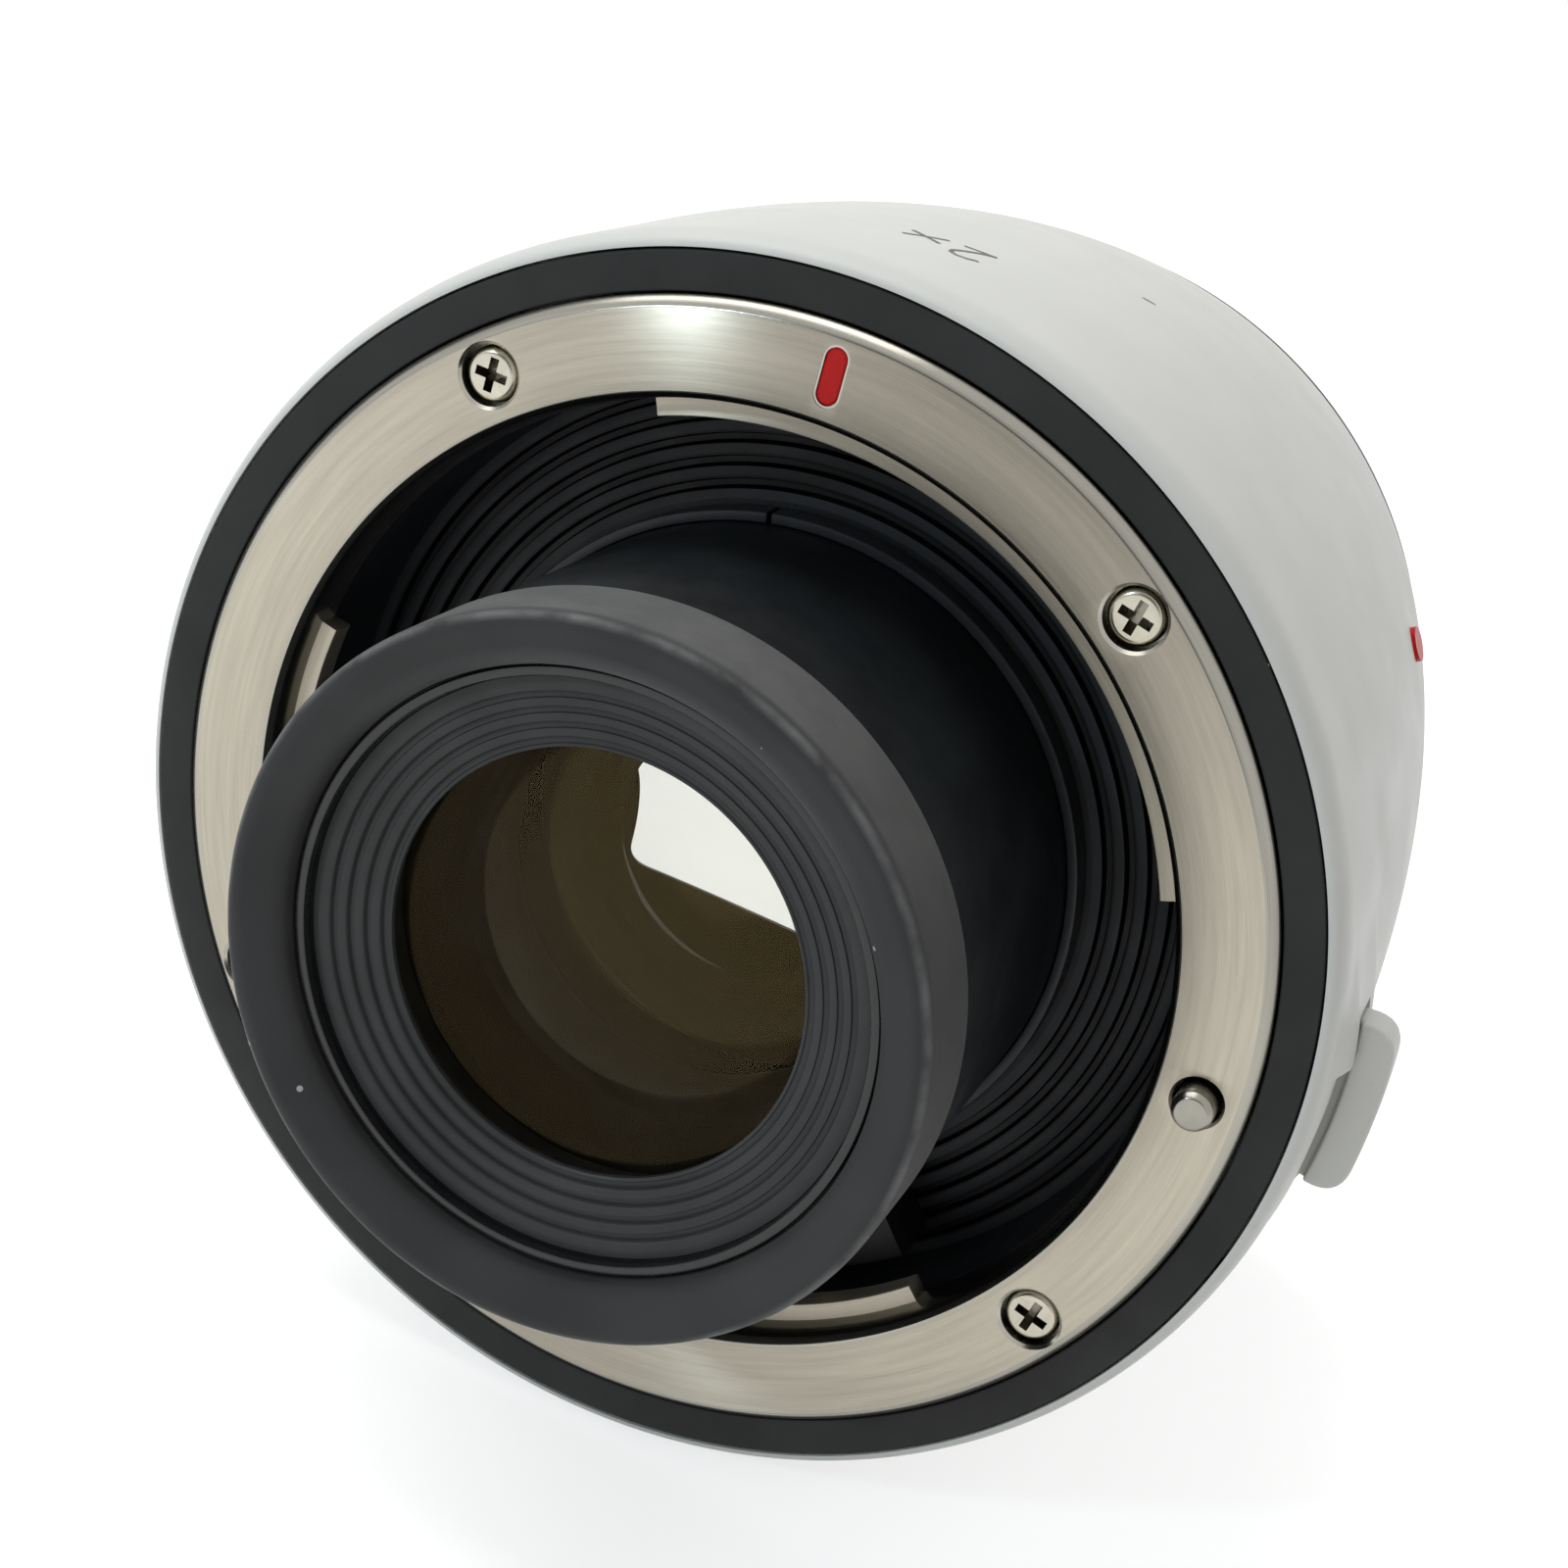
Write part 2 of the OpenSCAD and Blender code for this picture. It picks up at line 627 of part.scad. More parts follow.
board_z = core_top + 2;
board_t = 1.2;
board_screw_angles = [126, 234];
board_ring = step_r + 4.4;
rear_flex_r = board_ring - 3;

module main_board() {
    color("darkgreen")
    difference() {
        sector(118, 242, rear_flex_r - 0.5, board_ring + 2.4, board_z, board_z + board_t);
        for (a = board_screw_angles) at_ring(a, board_ring, board_z - 1) cylinder(r = 0.9, h = board_t + 2);
    }
}

module board_screws() {
    color("silver")
    for (a = board_screw_angles) at_ring(a, board_ring, board_z + board_t) screw(1.4, 0.8, 0.8, 4);
}

module front_flex() {
    color("peru")
    sector(172, 188, front_flex_r - flex_t / 2, front_flex_r + flex_t / 2, board_z + board_t, throat_floor);
}

module rear_flex() {
    color("peru")
    sector(176, 184, rear_flex_r - flex_t / 2, rear_flex_r + flex_t / 2, -rear_floor_deep, board_z);
}

// Optical core

module front_lens_barrel() {
    bore = front_h + bore_gap;
    color([0.06, 0.06, 0.07])
    difference() {
        union() {
            rotate_extrude()
                polygon([[spigot_r + bore_gap, core_z], [chamber_r - free_gap, core_z],
                    [chamber_r - free_gap, core_top], [step_r, core_top], [step_r, step_z], [barrel_r, step_z],
                    [barrel_r, bumper_z], [neck_r, bumper_z], [neck_r, neck_z], [bezel_r, neck_z],
                    [bezel_r, lip_z - 1.5], [bore, lip_z - 1.5], [bore, stop_top], [stop_r, stop_top],
                    [stop_r, stop_low], [spigot_r + bore_gap, stop_low]]);
            for (a = board_screw_angles) at_ring(a, board_ring, core_top - 0.1) cylinder(r = 1.8, h = board_z - core_top + 0.1);
        }
        for (a = board_screw_angles) at_ring(a, board_ring, core_z - 1) cylinder(r = 0.8 + seat_gap, h = board_z);
        for (s = [-1, 1])
            at_ring(pin_a + s * guide_screw_a, pin_ring_r, core_z - 1) cylinder(r = 0.8 + seat_gap, h = 5);
        for (a = core_screw_angles) at_ring(a, core_screw_ring, core_z - 1) cylinder(r = 0.9, h = 5);
        sector(174, 186, rear_flex_r - 0.5, rear_flex_r + 0.5, core_z - 1, core_top + 1);
    }
}

module core_screws() {
    color("silver")
    for (a = core_screw_angles) at_ring(a, core_screw_ring, core_top) screw(1.25, 0.8, 0.8, 5.5);
}

module rubber_bumper() {
    inner = neck_r + run_gap;
    low = neck_z + seat_gap;
    lip = rim_r + 0.15;
    color([0.2, 0.2, 0.2])
    rotate_extrude()
        polygon([[inner, bumper_z], [bumper_r - 0.15, bumper_z], [bumper_r, bumper_z + 0.3],
            [bumper_r, nose_z - 0.4], [bumper_r - 0.12, nose_z - 0.12], [bumper_r - 0.4, nose_z],
            [bumper_r - 0.9, nose_z - 0.1], [lip + 0.5, nose_z - 0.95], [lip, nose_z - 1.4], [lip, low], [inner, low]]);
}

module front_rim_ring() {
    color([0.1, 0.1, 0.1])
    rotate_extrude()
        polygon([[bezel_r + 0.05, neck_z], [rim_r, neck_z], [rim_r, neck_z + 0.7],
            [rim_r - 0.1, neck_z + 0.8], [bezel_r + 0.2, neck_z + 0.8], [bezel_r + 0.05, neck_z + 0.65]]);
}

// The ridged funnel that holds the first element
module front_retainer() {
    outer = bezel_r - run_gap;
    pitch = (outer - 0.4 - opening_r - 0.2) / ridges;
    fall = (neck_z - 0.05 - lip_z) / ridges;
    skirt = max(front_face(0, front_h), front_face(0, front_h - spacer_w)) + seat_gap;
    edge = front_h + bore_gap;
    color([0.1, 0.1, 0.11])
    rotate_extrude()
        polygon(concat(
            [[front_h - spacer_w, skirt], [edge, skirt], [edge, lip_z - 1.5 + seat_gap],
                [outer, lip_z - 1.5 + seat_gap], [outer, neck_z - 0.05]],
            [for (i = [0:ridges - 1]) for (k = [0:3])
                let (r = outer - 0.4 - pitch * i, z = neck_z - 0.05 - fall * i)
                [[r, z], [r - pitch * 0.55, z - fall * 0.35], [r - pitch * 0.65, z - fall * 0.35 - 0.3],
                    [r - pitch * 0.95, z - fall - 0.1]][k]],
            [[opening_r + 0.15, lip_z], [opening_r, lip_z - 0.1], [opening_r, lip_z - 0.4]]));
}

// A lens element cut from a disc by its two true spherical faces
module lens(i) {
    h = lens_h(i);
    c1 = curve(i, 0);
    c2 = curve(i, 1);
    zf = lens_front(i);
    zr = lens_rear(i);
    low = min(zr, rear_face(i, h));
    high = max(zf, front_face(i, h));
    color([0.75, 0.85, 0.9, 0.4])
    difference() {
        intersection() {
            translate([0, 0, low - 0.5]) cylinder(r = h, h = high - low + 1);
            if (c1 > 0) translate([0, 0, zf - c1]) sphere(r = c1, $fn = 360);
            if (c2 < 0) translate([0, 0, zr - c2]) sphere(r = -c2, $fn = 360);
        }
        if (c1 < 0) translate([0, 0, zf - c1]) sphere(r = -c1, $fn = 360);
        if (c2 > 0) translate([0, 0, zr - c2]) sphere(r = c2, $fn = 360);
    }
}

module spacer(i) {
    h = lens_h(i);
    color([0.08, 0.08, 0.08])
    ring(h - spacer_w, h, spacer_low(i + 1), spacer_top(i));
}

module rear_lens_cell() {
    bore = rear_h + bore_gap;
    color([0.06, 0.06, 0.07])
    rotate_extrude()
        polygon([[bore, cell_low], [cell_r, cell_low], [cell_r, core_z], [spigot_r, core_z],
            [spigot_r, stop_low - seat_gap], [bore, stop_low - seat_gap]]);
}

module rear_retainer() {
    top = min(rear_face(8, rear_h), rear_face(8, rear_h - spacer_w)) - seat_gap;
    color([0.08, 0.08, 0.08])
    rotate_extrude()
        polygon([[rear_h - spacer_w, top], [rear_h, top], [rear_h, cell_low + 0.2], [rear_h - 0.5, cell_low + 0.2]]);
}

// Rear mount

rear_floor_deep = 1.2;
rear_skirt = 1.2;
rear_cup_r = collar_r - 1.8 - seat_gap;
rear_block_t = 2.8;
rear_block_r2 = rear_cup_r - rear_skirt - 0.1;
rear_block_r1 = rear_block_r2 - 3.97;
rear_tabs = [[-15, 36], [132, 192], [243, 295]];

module rear_light_baffle() {
    corner = 1.5;
    color([0.07, 0.07, 0.07])
    difference() {
        union() {
            ring(rear_cup_r - rear_skirt, rear_cup_r, 1 - collar_l, flange_t + 1);
            ring(rear_cup_r - rear_skirt, rear_bore_r - 0.1, flange_t, flange_t + 1);
            translate([0, 0, -rear_floor_deep]) cylinder(r = rear_cup_r - 0.2, h = rear_floor_deep);
        }
        translate([0, 0, -rear_floor_deep - 1]) linear_extrude(rear_floor_deep + 2) {
            square([window_w - 2 * corner, window_h], center = true);
            square([window_w, window_h - 2 * corner], center = true);
            for (x = [-1, 1]) for (y = [-1, 1])
                translate([x * (window_w / 2 - corner), y * (window_h / 2 - corner)]) circle(r = corner);
        }
        sector(174, 186, rear_flex_r - 0.4, rear_flex_r + 0.4, -rear_floor_deep - 1, flange_t + 2);
    }
}

module rear_mount_ring() {
    collar_ir = collar_r - 1.8;
    color("lightgray")
    difference() {
        union() {
            rotate_extrude()
                polygon([[collar_ir, -collar_l], [collar_r - 0.4, -collar_l], [collar_r, -collar_l + 0.4],
                    [collar_r, 0], [flange_r - 0.2, 0], [flange_r, 0.2], [flange_r, flange_t], [collar_ir, flange_t]]);
            for (t = rear_tabs) sector(t[0], t[1], collar_r - 0.3, rear_tab_r, -3.7, -2.3);
        }
        for (a = rear_screw_angles) at_ring(a, rear_screw_ring, 0) {
            translate([0, 0, -1]) cylinder(r = screw_shank_r + 0.15, h = flange_t + 2);
            translate([0, 0, -1]) cylinder(r = screw_head_r + 0.25, h = 1 + rear_screw_seat);
        }
        at_ring(pin_a, pin_ring_r, -1) cylinder(r = pin_r + run_gap, h = flange_t + 2);
    }
}

module rear_mount_screws() {
    color("silver")
    for (a = rear_screw_angles)
        at_ring(a, rear_screw_ring, rear_screw_seat) rotate([180, 0, 0]) screw(screw_head_r, 1.1, screw_shank_r, 5);
}

module rear_contact_block() {
    color([0.09, 0.09, 0.1])
    difference() {
        sector(146, 214, rear_block_r1, rear_block_r2, -rear_floor_deep - rear_block_t, -rear_floor_deep);
        for (i = [1:contacts])
            at_ring(contact_angle(i), (rear_block_r1 + rear_block_r2) / 2, -rear_floor_deep - rear_block_t - 1)
                cylinder(r = 0.9 + seat_gap, h = 1.4);
    }
}

module rear_contacts() {
    color("gold")
    for (i = [1:contacts])
        at_ring(contact_angle(i), (rear_block_r1 + rear_block_r2) / 2, -rear_floor_deep - rear_block_t - 0.1)
            cylinder(r = 0.9, h = 0.5);
}

module rear_seal() {
    color([0.08, 0.08, 0.08])
    rotate_extrude()
        polygon([[flange_r + seat_gap, 0], [flange_r + 0.07, -0.15], [flange_r + 0.13, -0.15],
            [rear_r - 0.1, flange_t], [flange_r + seat_gap, flange_t]]);
}

lay() main_barrel();
lay() front_trim_ring();
lay() front_mount_ring();
lay() bayonet_leaf_springs();
lay() front_mount_screws();
lay() front_index_mark();
lay() lock_pin();
lay() lock_pin_spring();
lay() lock_pin_guide();
lay() guide_screws();
lay() release_lever();
lay() lever_carrier();
lay() lever_screws();
lay() carrier_screws();
lay() throat_baffle();
lay() barrel_base_ring();
lay() front_contact_block();
lay() contact_pin(1);  // contact_pin_1
lay() contact_pin(2);  // contact_pin_2
lay() contact_pin(3);  // contact_pin_3
lay() contact_pin(4);  // contact_pin_4
lay() contact_pin(5);  // contact_pin_5
lay() contact_pin(6);  // contact_pin_6
lay() contact_pin(7);  // contact_pin_7
lay() contact_pin(8);  // contact_pin_8
lay() contact_pin(9);  // contact_pin_9
lay() contact_pin(10);  // contact_pin_10
lay() contact_springs();
lay() front_flex();
lay() main_board();
lay() board_screws();
lay() rear_flex();
lay() front_lens_barrel();
lay() core_screws();
lay() rubber_bumper();
lay() front_rim_ring();
lay() front_retainer();
lay() lens(0);  // lens_1
lay() lens(1);  // lens_2
lay() lens(2);  // lens_3
lay() lens(3);  // lens_4
lay() lens(4);  // lens_5
lay() lens(5);  // lens_6
lay() lens(6);  // lens_7
lay() lens(7);  // lens_8
lay() lens(8);  // lens_9
lay() spacer(0);  // spacer_front
lay() spacer(3);  // spacer_middle
lay() spacer(6);  // spacer_rear
lay() rear_lens_cell();
lay() rear_retainer();
lay() rear_light_baffle();
lay() rear_mount_ring();
lay() rear_mount_screws();
lay() rear_contact_block();
lay() rear_contacts();
lay() rear_seal();
lay() rear_index_mark();
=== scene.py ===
import math
import bmesh
import bpy
from mathutils import Matrix, Vector


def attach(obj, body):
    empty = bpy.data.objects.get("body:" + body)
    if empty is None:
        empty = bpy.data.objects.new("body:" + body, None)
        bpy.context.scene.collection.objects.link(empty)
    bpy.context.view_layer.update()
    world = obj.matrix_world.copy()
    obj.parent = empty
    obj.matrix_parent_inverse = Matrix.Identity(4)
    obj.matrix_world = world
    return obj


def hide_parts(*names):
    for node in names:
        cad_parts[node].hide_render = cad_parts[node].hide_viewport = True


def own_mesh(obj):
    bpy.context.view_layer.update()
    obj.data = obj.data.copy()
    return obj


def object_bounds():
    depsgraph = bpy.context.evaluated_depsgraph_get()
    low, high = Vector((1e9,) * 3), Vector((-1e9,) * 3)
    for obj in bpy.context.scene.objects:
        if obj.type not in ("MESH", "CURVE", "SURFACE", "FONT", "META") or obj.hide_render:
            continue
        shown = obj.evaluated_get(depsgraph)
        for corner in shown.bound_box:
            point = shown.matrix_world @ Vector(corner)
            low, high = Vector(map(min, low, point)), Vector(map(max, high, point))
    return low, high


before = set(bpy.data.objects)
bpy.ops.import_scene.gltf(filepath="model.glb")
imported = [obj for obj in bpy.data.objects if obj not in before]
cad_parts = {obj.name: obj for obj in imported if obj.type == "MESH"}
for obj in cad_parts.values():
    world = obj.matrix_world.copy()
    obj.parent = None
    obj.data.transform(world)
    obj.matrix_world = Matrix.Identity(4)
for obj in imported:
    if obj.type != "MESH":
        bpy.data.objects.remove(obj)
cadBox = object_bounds()
mm = 0.001
print("frame loaded:", len(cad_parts), "nodes")

# camera first, set to the photograph's frame
shot = {"place": (38.58, -178.70, 60.09), "right": (0.89456, 0.36663, 0.25561),
        "up": (-0.36638, 0.274, 0.88921), "back": (0.25597, -0.8891, 0.37944), "lens": 58.5}
cameraData = bpy.data.cameras.new("shotCamera")
cameraData.lens = shot["lens"]
cameraData.sensor_width = 36
cameraData.clip_start = 0.01
camera = bpy.data.objects.new("shotCamera", cameraData)
turn = Matrix((shot["right"], shot["up"], shot["back"])).transposed().to_4x4()
camera.matrix_world = Matrix.Translation(Vector(shot["place"]) * mm) @ turn
bpy.context.scene.collection.objects.link(camera)
bpy.context.scene.camera = camera
bpy.context.scene.view_settings.view_transform = "Standard"


# placing: radius, clock angle seen from the front, height above the rear seat, all in millimetres
def spot(radius, clock, height):
    angle = math.radians(clock)
    return Vector((radius * math.sin(angle), -height, radius * math.cos(angle))) * mm


def roundCorners(points, steps=4):  # a third number on a point is the length of its rounding
    done = []
    for i, point in enumerate(points):
        here = Vector(point[:2])
        reach = point[2] if len(point) > 2 else 0
        if not reach:
            done.append(here)
            continue
        before = Vector(points[i - 1][:2])
        after = Vector(points[(i + 1) % len(points)][:2])
        reach = min(reach, 0.48 * (before - here).length, 0.48 * (after - here).length)
        first = here + (before - here).normalized() * reach
        last = here + (after - here).normalized() * reach
        for k in range(steps + 1):
            t = k / steps
            done.append((1 - t) ** 2 * first + 2 * t * (1 - t) * here + t * t * last)
    return done


def addObject(name, mesh, finishes):
    piece = bpy.data.objects.new(name, mesh)
    bpy.context.scene.collection.objects.link(piece)
    for finish in finishes:
        mesh.materials.append(finish)
    return piece


def closeForm(name, form, sharp):
    bmesh.ops.remove_doubles(form, verts=form.verts, dist=1e-7)
    bmesh.ops.recalc_face_normals(form, faces=form.faces)
    for face in form.faces:
        face.smooth = True
    mesh = bpy.data.meshes.new(name)
    form.to_mesh(mesh)
    form.free()
    mesh.set_sharp_from_angle(angle=math.radians(sharp))
    return mesh


def spinInto(form, outline, steps, start, sweep, pick, lift, centre):
    layer = form.loops.layers.uv.get("UVMap") or form.loops.layers.uv.new("UVMap")
    full = sweep > 359.9
    count = steps if full else steps + 1
    rings = []
    for i in range(count):
        clock = start + sweep * i / steps
        ring = []
        for r, z in outline:
            far = r + (lift(r, z, clock) if lift else 0)
            ring.append(form.verts.new(centre @ spot(far, clock, z)))
        rings.append(ring)
    along = [0]
    for k, point in enumerate(outline):
        along.append(along[-1] + (Vector(outline[(k + 1) % len(outline)]) - Vector(point)).length)
    for i in range(steps):
        here = rings[i]
        there = rings[(i + 1) % count]
        for k in range(len(outline)):
            j = (k + 1) % len(outline)
            if outline[k][0] < 1e-6 and outline[j][0] < 1e-6:
                continue
            face = form.faces.new((here[k], here[j], there[j], there[k]))
            face.material_index = pick(k, outline) if pick else 0
            spread = ((i, k), (i, k + 1), (i + 1, k + 1), (i + 1, k))
            for loop, (u, v) in zip(face.loops, spread):
                loop[layer].uv = ((start + sweep * u / steps) / 360, along[v] / 100)
    if not full:
        for ring in (rings[0], rings[-1]):
            form.faces.new(ring).material_index = pick(0, outline) if pick else 0


def spin(name, outline, finishes, steps=288, start=0, sweep=360, pick=None, lift=None, sharp=32,
         centre=Matrix.Identity(4)):
    form = bmesh.new()
    spinInto(form, [tuple(p[:2]) for p in outline], steps, start, sweep, pick, lift, centre)
    return addObject(name, closeForm(name, form, sharp), finishes)


def spinMany(name, jobs, finishes, steps=96, sharp=32):  # several turned or part-turned bodies in one mesh
    form = bmesh.new()
    for job in jobs:
        spinInto(form, [tuple(p[:2]) for p in job["outline"]], job.get("steps", steps), job.get("start", 0),
                 job.get("sweep", 360), job.get("pick"), None, job.get("centre", Matrix.Identity(4)))
    return addObject(name, closeForm(name, form, sharp), finishes)


def at(clock, radius):  # a turned body stands here, its own axis along the optical axis
    return Matrix.Translation(spot(radius, clock, 0)) @ Matrix.Rotation(math.radians(clock), 4, "Y")


def box(r1, r2, z1, z2, soft=0):
    return roundCorners([(r1, z1, soft), (r2, z1, soft), (r2, z2, soft), (r1, z2, soft)], 3)


def holesAt(outline, clocks, ring, steps, index=0):  # turned bodies for spinMany
    return [{"outline": outline, "centre": at(clock, ring), "steps": steps, "pick": lambda k, p: index}
            for clock in clocks]


def arcs(outline, spans, steps, index=0, short=0):  # part-turned bodies for spinMany
    return [{"outline": outline, "start": first + short, "sweep": last - first - 2 * short, "steps": steps,
             "pick": lambda k, p: index} for first, last in spans]


def bake(piece, sharp=32):  # modifiers become a plain mesh
    evaluated = piece.evaluated_get(bpy.context.evaluated_depsgraph_get())
    mesh = bpy.data.meshes.new_from_object(evaluated)
    piece.modifiers.clear()
    piece.data = mesh
    mesh.set_sharp_from_angle(angle=math.radians(sharp))
    return piece


def combine(piece, other, operation, sharp):
    step = piece.modifiers.new("combine", "BOOLEAN")
    step.operation = operation
    step.solver = "EXACT"
    step.object = other
    bake(piece, sharp)
    bpy.data.objects.remove(other)
    return piece


def carve(piece, cutter, sharp=32):
    return combine(piece, cutter, "DIFFERENCE", sharp)


def unite(piece, other, sharp):
    return combine(piece, other, "UNION", sharp)


def skin(form, loops, index=0):  # walls between closed loops, then the two ends
    count = len(loops[0])
    for first, last in zip(loops, loops[1:]):
        for k in range(count):
            j = (k + 1) % count
            form.faces.new((first[k], first[j], last[j], last[k])).material_index = index
    for end in (loops[0], loops[-1]):
        form.faces.new(end).material_index = index


def stand(piece, body, slot, *nodes):
    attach(piece, body)
    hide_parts(*nodes)


# materials
def startFinish(name):
    finish = bpy.data.materials.new(name)
    finish.use_nodes = True
    tree = finish.node_tree
    return finish, tree, tree.nodes["Principled BSDF"]


def plug(node, key, value):  # a link, or a plain value
    socket = node.inputs[key]
    if isinstance(value, bpy.types.NodeSocket):
        node.id_data.links.new(value, socket)
    elif socket.type == "RGBA" and len(value) == 3:
        socket.default_value = (*value, 1)
    else:
        socket.default_value = value


def addNode(tree, kind, settings=None, **inputs):  # i0, i1 and so on are inputs by number
    made = tree.nodes.new(kind)
    for key, value in (settings or {}).items():
        setattr(made, key, value)
    for key, value in inputs.items():
        plug(made, int(key[1:]) if key[0] == "i" and key[1:].isdigit() else key, value)
    return made


def math2(tree, operation, a, b=0.0):
    return addNode(tree, "ShaderNodeMath", {"operation": operation}, i0=a, i1=b).outputs[0]


def objectPoint(tree):
    return addNode(tree, "ShaderNodeTexCoord").outputs["Object"]


def noise(tree, point, scale, detail=3.0, rough=0.55):
    return addNode(tree, "ShaderNodeTexNoise", None, Vector=point, Scale=scale, Detail=detail,
                   Roughness=rough).outputs["Fac"]


def span(tree, value, low, high, first=0.0, last=1.0):
    made = addNode(tree, "ShaderNodeMapRange", {"clamp": True}, Value=value)
    for key, number in (("From Min", low), ("From Max", high), ("To Min", first), ("To Max", last)):
        plug(made, key, number)
    return made.outputs["Result"]


def mottle(tree, point, scale, low=0.0, high=1.0, detail=3.0):  # soft patches between two values
    return span(tree, noise(tree, point, scale, detail), 0.3, 0.7, low, high)


def blendColour(tree, share, first, last):
    return addNode(tree, "ShaderNodeMix", {"data_type": "RGBA"}, i0=share, i6=first, i7=last).outputs[2]


def bump(tree, shader, height, strength, distance):
    made = addNode(tree, "ShaderNodeBump", None, Strength=strength, Distance=distance, Height=height)
    plug(shader, "Normal", made.outputs["Normal"])


def polar(tree):  # radius and height in metres, height towards the front
    parts = addNode(tree, "ShaderNodeSeparateXYZ", None, Vector=objectPoint(tree)).outputs
    flat = math2(tree, "ADD", math2(tree, "MULTIPLY", parts[0], parts[0]),
                 math2(tree, "MULTIPLY", parts[2], parts[2]))
    return math2(tree, "SQRT", flat), math2(tree, "MULTIPLY", parts[1], -1.0), parts


def specks(tree, size, share):  # small dust grains, 1 on a grain
    grain = addNode(tree, "ShaderNodeTexVoronoi", None, Vector=objectPoint(tree), Scale=size)
    hit = math2(tree, "LESS_THAN", grain.outputs["Distance"], 0.11)
    lucky = addNode(tree, "ShaderNodeSeparateColor", None, Color=grain.outputs["Color"]).outputs[0]
    return math2(tree, "MULTIPLY", hit, math2(tree, "LESS_THAN", lucky, share))


whitePaint = {"low": (0.665, 0.67, 0.635), "high": (0.715, 0.72, 0.685), "rim": (0.66, 0.665, 0.63),
              "rough": 0.42, "rimFrom": 0.0545, "rimFull": 0.0558, "smudge": (0.5, 0.5, 0.48)}
dustGrain = (0.33, 0.33, 0.32)


def makeWhitePaint():
    finish, tree, shader = startFinish("whitePaint")
    plug(shader, "Specular IOR Level", 0.3)
    point = objectPoint(tree)
    colour = blendColour(tree, mottle(tree, point, 42, detail=4), whitePaint["low"], whitePaint["high"])
    # painted shade: a patchy band on the rim's rounding, a little darker than the rest of the paint
    rise = span(tree, polar(tree)[1], whitePaint["rimFrom"], whitePaint["rimFull"])
    rim = math2(tree, "MULTIPLY", rise, span(tree, noise(tree, point, 160), 0.25, 0.5))
    colour = blendColour(tree, rim, colour, whitePaint["rim"])
    smudge = span(tree, noise(tree, point, 420, 5, 0.7), 0.66, 0.74, 0.0, 0.25)
    colour = blendColour(tree, smudge, colour, whitePaint["smudge"])
    plug(shader, "Base Color", colour)
    base = whitePaint["rough"]
    plug(shader, "Roughness", mottle(tree, point, 240, base - 0.05, base + 0.07))
    bump(tree, shader, noise(tree, point, 2600, 2), 0.12, 0.00004)
    return finish


def makeBlack(name, low, high, rough, grain, depth, dust=0.0, dustSize=700, strength=0.35, shine=0.25):
    finish, tree, shader = startFinish(name)
    plug(shader, "Specular IOR Level", shine)
    point = objectPoint(tree)
    colour = blendColour(tree, mottle(tree, point, 130, detail=4), low, high)
    if dust:
        colour = blendColour(tree, specks(tree, dustSize, dust), colour, dustGrain)
    plug(shader, "Base Color", colour)
    plug(shader, "Roughness", mottle(tree, point, 300, rough - 0.06, rough + 0.06))
    bump(tree, shader, noise(tree, point, grain, 2), strength, depth)
    return finish


# edgeLow and edgeHigh are a darker copy of the turned steel: painted shade on the chamfers and walls
turnedSteel = {"low": (0.36, 0.33, 0.27), "high": (0.54, 0.495, 0.405), "rough": 0.30, "stretch": 1.0,
               "edgeLow": (0.27, 0.255, 0.22), "edgeHigh": (0.41, 0.395, 0.35)}


def makeTurnedSteel(name, low, high, rough, stretch):
    finish, tree, shader = startFinish(name)
    uv = addNode(tree, "ShaderNodeUVMap", {"uv_map": "UVMap"}).outputs["UV"]
    lines = addNode(tree, "ShaderNodeMapping", None, Vector=uv, Scale=(9, 3600, 1)).outputs["Vector"]
    wide = addNode(tree, "ShaderNodeMapping", None, Vector=uv, Scale=(26, 260, 1)).outputs["Vector"]
    fine = noise(tree, lines, 1, 3, 0.6)
    broad = noise(tree, wide, 1, 2)
    mixed = math2(tree, "ADD", math2(tree, "MULTIPLY", fine, 0.65), math2(tree, "MULTIPLY", broad, 0.35))
    colour = blendColour(tree, span(tree, mixed, 0.32, 0.68), low, high)
    plug(shader, "Base Color", colour)
    plug(shader, "Metallic", 1)
    plug(shader, "Roughness", span(tree, fine, 0.3, 0.7, rough - 0.05, rough + 0.08))
    plug(shader, "Anisotropic", stretch)
    plug(shader, "Anisotropic Rotation", 0.25)
    tangent = addNode(tree, "ShaderNodeTangent", {"direction_type": "UV_MAP", "uv_map": "UVMap"})
    plug(shader, "Tangent", tangent.outputs["Tangent"])
    bump(tree, shader, fine, 0.05, 0.00003)
    return finish


def makeMetal(name, low, high, rough, scale=900):
    finish, tree, shader = startFinish(name)
    point = objectPoint(tree)
    patch = noise(tree, point, scale, 4)
    plug(shader, "Base Color", blendColour(tree, span(tree, patch, 0.3, 0.7), low, high))
    plug(shader, "Roughness", span(tree, patch, 0.3, 0.7, rough - 0.05, rough + 0.08))
    plug(shader, "Metallic", 1)
    bump(tree, shader, noise(tree, point, scale * 5, 2), 0.05, 0.00003)
    return finish


def makeGloss(name, low, high, rough, scale=500, shine=0.5):
    finish, tree, shader = startFinish(name)
    plug(shader, "Specular IOR Level", shine)
    point = objectPoint(tree)
    plug(shader, "Base Color", blendColour(tree, mottle(tree, point, scale), low, high))
    plug(shader, "Roughness", mottle(tree, point, scale * 2, rough, rough + 0.1))
    bump(tree, shader, noise(tree, point, scale * 3, 2), 0.06, 0.00005)
    return finish


def makeGlass(name, ior, tint, coat):
    finish, tree, shader = startFinish(name)
    plug(shader, "Base Color", tint)
    plug(shader, "Specular Tint", coat)
    plug(shader, "Transmission Weight", 1)
    plug(shader, "Roughness", 0)
    plug(shader, "IOR", ior)
    return finish
